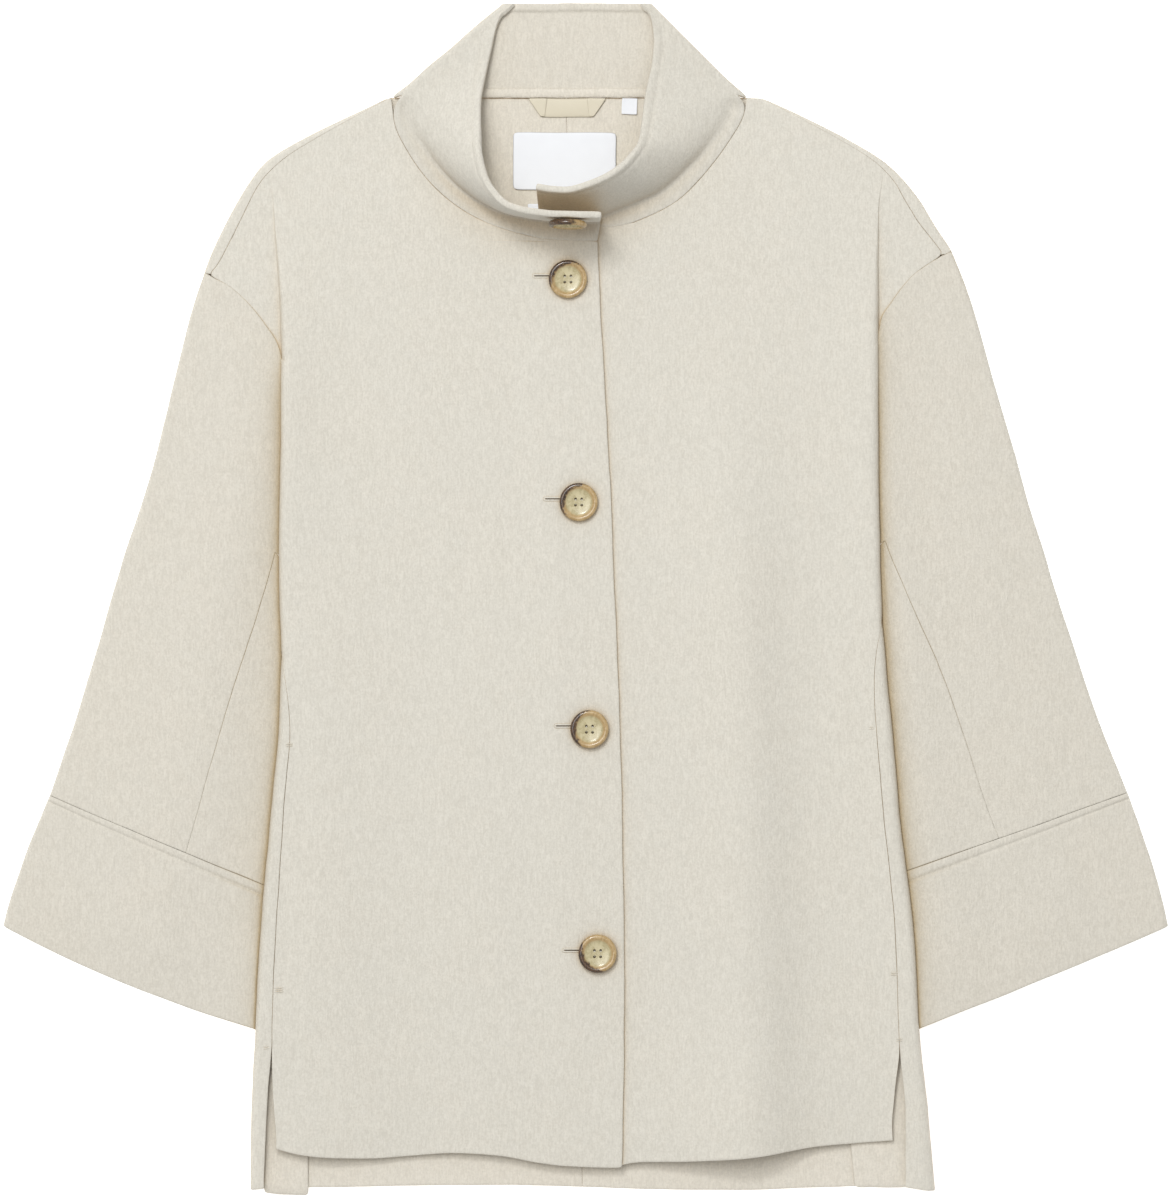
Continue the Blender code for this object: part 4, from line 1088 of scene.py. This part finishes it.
def add_button(number, mesh, place, turn, normal=None):
    made = bpy.data.objects.new("button_%d_turned" % number, mesh.copy())
    bpy.context.scene.collection.objects.link(made)
    made.data.materials.clear()
    made.data.materials.append(horn("horn_%d" % number, math.radians(turn)))
    if normal:
        made.rotation_euler = normal.to_track_quat("Z", "Y").to_euler()
    made.location = place * MM
    finished(made, "button_%d" % number)
    shape = bmesh.new()
    for (ax, ay), (bx, by) in ((HOLES[0], HOLES[1]), (HOLES[2], HOLES[3])):
        for aside in STITCHES:
            path = [(mix(ax, bx, t) + aside, mix(ay, by, t), BUTTON_THICK * 0.2 + lift)
                    for t, lift in ((0.0, 0.0), (0.2, STITCH_LIFT), (0.8, STITCH_LIFT), (1.0, 0.0))]
            add_tube(shape, path, STITCH_RADIUS, steps=6)
    thread = mesh_object("button_%d_thread" % number, shape, [THREAD])
    thread.location = made.location
    thread.rotation_euler = made.rotation_euler
    finished(thread, None)


def buttons():
    mesh = button_mesh()
    for number, ((x, y), turn) in enumerate(zip(BUTTONS, BUTTON_TURN), 2):
        ring = [(x + BUTTON_RADIUS * math.cos(a), y + BUTTON_RADIUS * math.sin(a))
                for a in spread(0.0, 2 * math.pi, 12)]
        seat = max(over_height(px, py) for px, py in ring)
        add_button(number, mesh, Vector((x, y, seat + GAP)), turn)
        buttonhole(number, x, y)
    place, normal = collar_button_seat()
    add_button(1, mesh, place + normal * COLLAR_BUTTON["clear"], COLLAR_BUTTON["turn"], normal)


def buttonhole(number, x, y):
    """A slit with whipped lips that shows beside its button; the open slit is a near-black cord of painted
    shade.
    """
    left, right = x - BUTTON_RADIUS - SLIT_OUT, x - BUTTON_RADIUS + SLIT_IN
    level = y + SLIT_ABOVE
    loop = [(px, level + LIP_OUT) for px in spread(left, right, 14)]
    loop += [(right + LIP_OUT * math.sin(a), level + LIP_OUT * math.cos(a)) for a in spread(0.4, 2.7, 4)]
    loop += [(px, level - LIP_OUT) for px in spread(right, left, 14)]
    loop += [(left - LIP_OUT * math.sin(a), level + LIP_OUT * math.cos(a)) for a in spread(2.7, 0.4, 4)]
    shape = bmesh.new()
    lips = [(px, py, over_height(px, py) + LIP_LIFT) for px, py in loop]
    add_tube(shape, lips, LIP_RADIUS, squash=0.7, closed=True)
    finished(mesh_object("buttonhole_%d_lips" % number, shape, [WOOL["body"]]), None)
    # The open slit: a near-black cord of painted shade.
    shape = bmesh.new()
    slit = [(px, level, over_height(px, level) + LIP_LIFT) for px in spread(left + 0.2, right, 14)]
    add_tube(shape, slit, LIP_OUT, squash=0.3)
    finished(mesh_object("buttonhole_%d_slit" % number, shape, [SLIT_SHADE]), None)


def tack(number, x0, x1, y, threads):
    """A few short stitches that close the end of an opening."""
    shape = bmesh.new()
    side = LEFT if x0 < 0.0 else RIGHT
    for k in range(threads):
        level = y + (k - (threads - 1) / 2) * TACK_STEP
        path = []
        for t in spread(0.0, 1.0, 4):
            x = mix(x0, x1, t)
            height = front_height(side, x, level) + 0.35 * math.sin(math.pi * t)
            path.append((x, level + 0.4 * (t - 0.5), height))
        add_tube(shape, path, TACK_RADIUS, steps=6)
    finished(mesh_object("bar_tack_%d" % number, shape, [THREAD]), None)


def hanger_loop():
    """A satin tape turned down at both ends, where it lies double."""
    (t0, t1), (b0, b1), (ty, by) = LOOP["top"], LOOP["bottom"], LOOP["y"]
    for number, (top, bottom, inward) in enumerate(((t0, b0, 1.0), (t1, b1, -1.0)), 1):
        rows = []
        for b in spread(0.0, 1.0, 4):
            start = mix(top, bottom, b)
            reach = inward * mix(LOOP_END["top"], LOOP_END["bottom"], b)
            rows.append([(start + reach * a, mix(ty, by + 0.4, b), CLOTH + GAP + LOOP_END["lift"])
                         for a in spread(0.0, 1.0, 6)])
        cloth("loop_end_%d" % number, [rows], LOOP_END["thick"], [SATIN],
                          suffix="_tape", middle=0.0, declared=False)
    rows = []
    for b in spread(0.0, 1.0, 5):
        y = mix(ty, by, b)
        rows.append([(x, y, CLOTH + GAP + LOOP["lift"] + 0.5 * math.sin(math.pi * b) * bump(x, -13.0, 22.0))
                     for x in spread(mix(t0, b0, b), mix(t1, b1, b), 18)])
    cloth("hanger_loop", [rows], LOOP["thick"], [SATIN],
          suffix="_tape", middle=0.0)


# Finishes.

class Socket:
    """An output whose numbers can be reckoned with in Python."""

    def __init__(self, finish, output):
        self.finish, self.output = finish, output

    def reckon(self, operation, *values):
        return self.finish.node("ShaderNodeMath", {"operation": operation}, dict(enumerate(values)))

    def __add__(self, other):
        return self.reckon("ADD", self, other)

    def __sub__(self, other):
        return self.reckon("SUBTRACT", self, other)

    def __rsub__(self, other):
        return self.reckon("SUBTRACT", other, self)

    def __mul__(self, other):
        return self.reckon("MULTIPLY", self, other)

    def __pow__(self, other):
        return self.reckon("POWER", self, other)

    def __abs__(self):
        return self.reckon("ABSOLUTE", self)

    __radd__, __rmul__ = __add__, __mul__


class Finish:
    """A material: numbers that are the same all over go on its shader, and its nodes are made by calls."""

    def __init__(self, name, **numbers):
        self.material = bpy.data.materials.new(name)
        self.material.use_nodes = True
        self.tree = self.material.node_tree
        self.shader = self.tree.nodes["Principled BSDF"]
        for socket, number in numbers.items():
            self.shader.inputs[socket.replace("_", " ")].default_value = number

    def node(self, kind, settings=None, values=None, output=0):
        made = self.tree.nodes.new(kind)
        for name, setting in (settings or {}).items():
            if name == "stops":
                ramp = made.color_ramp
                while len(ramp.elements) < len(setting):
                    ramp.elements.new(0.5)
                for element, (place, colour) in zip(ramp.elements, setting):
                    element.position, element.color = place, (*colour, 1.0)
            else:
                setattr(made, name, setting)
        for key, value in (values or {}).items():
            self.set(made.inputs[key], value)
        return Socket(self, made.outputs[output])

    def set(self, socket, value):
        if isinstance(value, Socket):
            self.tree.links.new(value.output, socket)
        else:
            socket.default_value = value

    def noise(self, where, scale, detail=2.0, roughness=0.5, distortion=0.0):
        return self.node("ShaderNodeTexNoise", {}, {"Vector": where, "Scale": scale, "Detail": detail,
                                                    "Roughness": roughness, "Distortion": distortion})

    def ramp(self, amount, stops):
        return self.node("ShaderNodeValToRGB", {"stops": stops}, {"Fac": amount})

    def step(self, amount, low, high):
        """0 below low, 1 above high and a soft step between."""
        return self.node("ShaderNodeMapRange", {"interpolation_type": "SMOOTHSTEP"},
                         {"Value": amount, "From Min": low, "From Max": high})

    def blend(self, amount, a, b, how="MIX"):
        """Colour a where the amount is 0 and colour b where it is 1."""
        return self.node("ShaderNodeMix", {"data_type": "RGBA", "blend_type": how},
                         {0: amount, 6: a, 7: b}, output=2)

    def places(self, stretch=(1.0, 1.0, 1.0), turn=0.0):
        where = self.node("ShaderNodeTexCoord", output="Object")
        return self.node("ShaderNodeMapping", {},
                         {"Vector": where, "Scale": stretch, "Rotation": (0.0, 0.0, turn)})

    def done(self, **sockets):
        for socket, value in sockets.items():
            self.set(self.shader.inputs[socket.replace("_", " ")], value)
        return self.material

    def bump(self, height, distance, strength=1.0):
        return self.node("ShaderNodeBump", {},
                         {"Height": height, "Distance": distance * MM, "Strength": strength})


def tint(colour, factor, warm=0.0):
    r, g, b = colour
    return (r * factor * (1.0 + warm), g * factor, b * factor * (1.0 - warm), 1.0)


def wool(name, colour, nap=0.0, curl=0.0, crease=CREASE_SHADE, open_range=OPEN, reach=None):
    """Brushed melange wool: fine flecks of two tones, a short nap in one direction, slow cloudy tones, and
    painted shade, warm and dark where little sky is seen, as in creases.
    """
    made = Finish("wool_" + name, Sheen_Weight=SHEEN, Sheen_Roughness=0.45, Specular_IOR_Level=0.2)
    where = made.places()
    along = made.places((1.0, 0.2, 1.0), nap)
    fleck = made.noise(where, 620.0, 3.0, 0.65)
    hair = made.noise(along, 780.0, 3.0, 0.6, 0.6)
    strand = made.noise(made.places((1.0, 0.45, 1.0), nap + 0.5), 210.0, 2.0, 0.5, 1.6)
    cloud = made.noise(where, 13.0, 3.0, 0.55)
    mottle = made.noise(where, 130.0, 3.0, 0.6)
    melange = fleck * 0.5 + hair * 0.5
    cool = made.blend(made.step(melange, 0.38, 0.62), tint(colour, 0.93, 0.010), tint(colour, 1.055, 0.006))
    warm = made.blend(made.step(melange, 0.38, 0.62), tint(colour, 0.925, 0.016), tint(colour, 1.06, 0.011))
    tones = made.blend(made.step(mottle * 0.45 + cloud * 0.55, 0.42, 0.59), cool, warm)
    shade = made.blend(made.step(strand, 0.3, 0.7), (0.975, 0.975, 0.97, 1.0), (1.02, 1.02, 1.02, 1.0))
    tones = made.blend(1.0, tones, shade, "MULTIPLY")
    # Painted shade: where the ambient occlusion sees little of the sky, the colour is multiplied by the
    # crease colour; on the sleeves this happens only near the body's sides.
    open_sky = made.node("ShaderNodeAmbientOcclusion", {"samples": 6}, {"Distance": 0.045}, output=1)
    painted_shade = 1.0 - made.step(open_sky, *open_range)
    if reach:
        across = made.node("ShaderNodeSeparateXYZ", {}, {"Vector": where})
        painted_shade = painted_shade * (1.0 - made.step(abs(across), *reach))
    tones = made.blend(painted_shade, tones, made.blend(1.0, tones, crease, "MULTIPLY"))
    height = hair * 0.7 + fleck * 0.5 + strand * curl
    rough = made.step(melange, 0.2, 0.8) * 0.12 + 0.84
    return made.done(Base_Color=tones, Roughness=rough, Normal=made.bump(height, 0.55, 0.8))


def horn(name, turn):
    """Polished horn: olive middle, tan ring and a mottled dark arc at one side."""
    made = Finish(name, Coat_Weight=0.35, Coat_Roughness=0.12, Specular_IOR_Level=0.5)
    where = made.places()
    x, y = [made.node("ShaderNodeSeparateXYZ", {}, {"Vector": where}, output=axis) for axis in (0, 1)]
    radius = (x * x + y * y) ** 0.5 * (1.0 / (BUTTON_RADIUS * MM))
    facing_dark = (x * math.cos(turn) + y * math.sin(turn)) * (1.0 / (BUTTON_RADIUS * MM))
    cloud = made.noise(where, 260.0, 4.0, 0.6, 0.8)
    grain = made.noise(made.places((1.0, 0.25, 1.0), turn), 900.0, 3.0, 0.6)
    ring = made.step(radius + cloud * 0.16, 0.70, 0.84)
    dark = made.step(radius * 0.62 + facing_dark * 0.34 + cloud * 0.46, 0.84, 0.97)
    core = made.blend(made.step(cloud, 0.35, 0.65), HORN["olive"], HORN["pale"])
    edge = made.blend(made.step(cloud, 0.3, 0.7), HORN["tan"], HORN["honey"])
    tones = made.blend(ring, core, edge)
    tones = made.blend(made.step(grain, 0.5, 0.75) * 0.18, tones, HORN["brown"])
    tones = made.blend(dark, tones, made.blend(made.step(grain, 0.4, 0.6), HORN["brown"], HORN["black"]))
    rough = made.step(cloud, 0.2, 0.8) * 0.12 + 0.22
    return made.done(Base_Color=tones, Roughness=rough, Normal=made.bump(grain, 0.03, 0.5))


def woven(name, colour, thread, shine):
    """A fine plain weave with thread that many millimetres apart."""
    made = Finish(name, Sheen_Weight=0.1, Specular_IOR_Level=0.3)
    across, down = [made.node("ShaderNodeTexWave", {"bands_direction": direction},
                              {"Vector": made.places(), "Scale": 0.31 / (thread * MM), "Distortion": 0.4})
                    for direction in "XY"]
    weave = across * 0.5 + down * 0.5
    uneven = made.noise(made.places(), 90.0, 3.0)
    tones = made.step(weave * 0.6 + uneven * 0.4, 0.2, 0.8)
    tones = made.blend(tones, tint(colour, 0.95), tint(colour, 1.02))
    rough = made.step(uneven, 0.2, 0.8) * 0.1 + shine
    return made.done(Base_Color=tones, Roughness=rough, Normal=made.bump(weave, 0.05, 0.5))


# The jacket.

ARMHOLE_LINE = {side: armhole_line(side) for side in (LEFT, RIGHT)}
NECK_LINE = {side: neck_line(side) for side in (LEFT, RIGHT)}
WOOL = {
    "body": wool("body", CREAM, 0.0),
    # the inside and the sleeves get their own painted crease shade
    "inside": wool("inside", CREAM_INSIDE, 0.1, crease=CREASE_SHADE_INSIDE),
    "band": wool("band", CREAM_BAND, 0.1, crease=CREASE_SHADE_INSIDE),
    "collar": wool("collar", tint(CREAM, 0.95, 0.0)[:3], 0.4, 0.5),
    "sleeve_left": wool("sleeve_left", tint(CREAM, 0.985, 0.01)[:3], -0.32, 0.2,
                        CREASE_SHADE_SLEEVE, OPEN_SLEEVE, SLEEVE_SHADE_REACH),
    "sleeve_right": wool("sleeve_right", tint(CREAM, 0.975, 0.01)[:3], 0.32, 1.0,
                         CREASE_SHADE_SLEEVE, OPEN_SLEEVE, SLEEVE_SHADE_REACH),
}
THREAD = woven("thread", tint(CREAM, 1.02)[:3], 0.3, 0.7)
SATIN = woven("satin", (0.62, 0.57, 0.45), 0.25, 0.35)
WHITE = woven("white_tape", (0.79, 0.81, 0.85), 0.45, 0.6)
# painted shade for the open buttonhole slits
SLIT_SHADE = wool("slit", (0.05, 0.036, 0.024))

back(LEFT, "back_left")
back(RIGHT, "back_right")
front(RIGHT, "front_under")
front(LEFT, "front_over")
for side in (LEFT, RIGHT):
    sleeve(side)
    cuff(side)
    facing(side)
collar()
buttons()
for sizes in TAPES:
    tape(**sizes)
hanger_loop()
for number, sizes in enumerate(TACKS, 1):
    tack(number, *sizes)

# The floor, the light and the camera.
shape = bmesh.new()
bmesh.ops.create_grid(shape, x_segments=1, y_segments=1, size=FLOOR_SIZE,
                      matrix=Matrix.Translation((0.0, 0.0, FLOOR_LEVEL)))
pale = Finish("floor", Roughness=0.9, Specular_IOR_Level=0.1, Emission_Strength=FLOOR_GLOW)
pale.set(pale.shader.inputs["Emission Color"], (1.0, 1.0, 1.0, 1.0))
tones = pale.blend(pale.noise(pale.places(), 3.0), (0.94, 0.94, 0.94, 1.0), (0.96, 0.96, 0.96, 1.0))
pale.done(Base_Color=tones)
mesh_object("floor", shape, [pale.material])

scene = bpy.context.scene
scene.view_settings.view_transform = "Standard"
scene.view_settings.look = "None"
world = bpy.data.worlds.new("studio")
scene.world = world
world.use_nodes = True
world.node_tree.nodes["Background"].inputs["Color"].default_value = (1.0, 0.995, 0.985, 1.0)
world.node_tree.nodes["Background"].inputs["Strength"].default_value = WORLD_LIGHT


def add_light(name, kind, towards, strength, size, colour=(1.0, 1.0, 1.0)):
    """A lamp that stands that way from the jacket and looks at it."""
    lamp = bpy.data.lights.new(name, kind)
    lamp.energy = strength
    lamp.color = colour
    if kind == "SUN":
        lamp.angle = size
    else:
        lamp.size = size
    made = bpy.data.objects.new(name, lamp)
    scene.collection.objects.link(made)
    made.location = Vector(towards)
    made.rotation_euler = Vector(towards).to_track_quat("Z", "Y").to_euler()


add_light("key", "SUN", KEY_FROM, KEY_LIGHT, math.radians(KEY_SPREAD), (1.0, 0.995, 0.98))
add_light("glint", "AREA", GLINT_FROM, GLINT_LIGHT, GLINT_SIZE)

lens = bpy.data.cameras.new("camera")
lens.lens, lens.sensor_width, lens.sensor_fit = CAMERA_LENS, CAMERA_SENSOR, "AUTO"
lens.clip_start, lens.clip_end = 0.1, 60.0
eye = bpy.data.objects.new("camera", lens)
scene.collection.objects.link(eye)
eye.location = (*CAMERA_AIM, PHOTO_HEIGHT * CAMERA_LENS / CAMERA_SENSOR + CAMERA_LEVEL)
scene.camera = eye
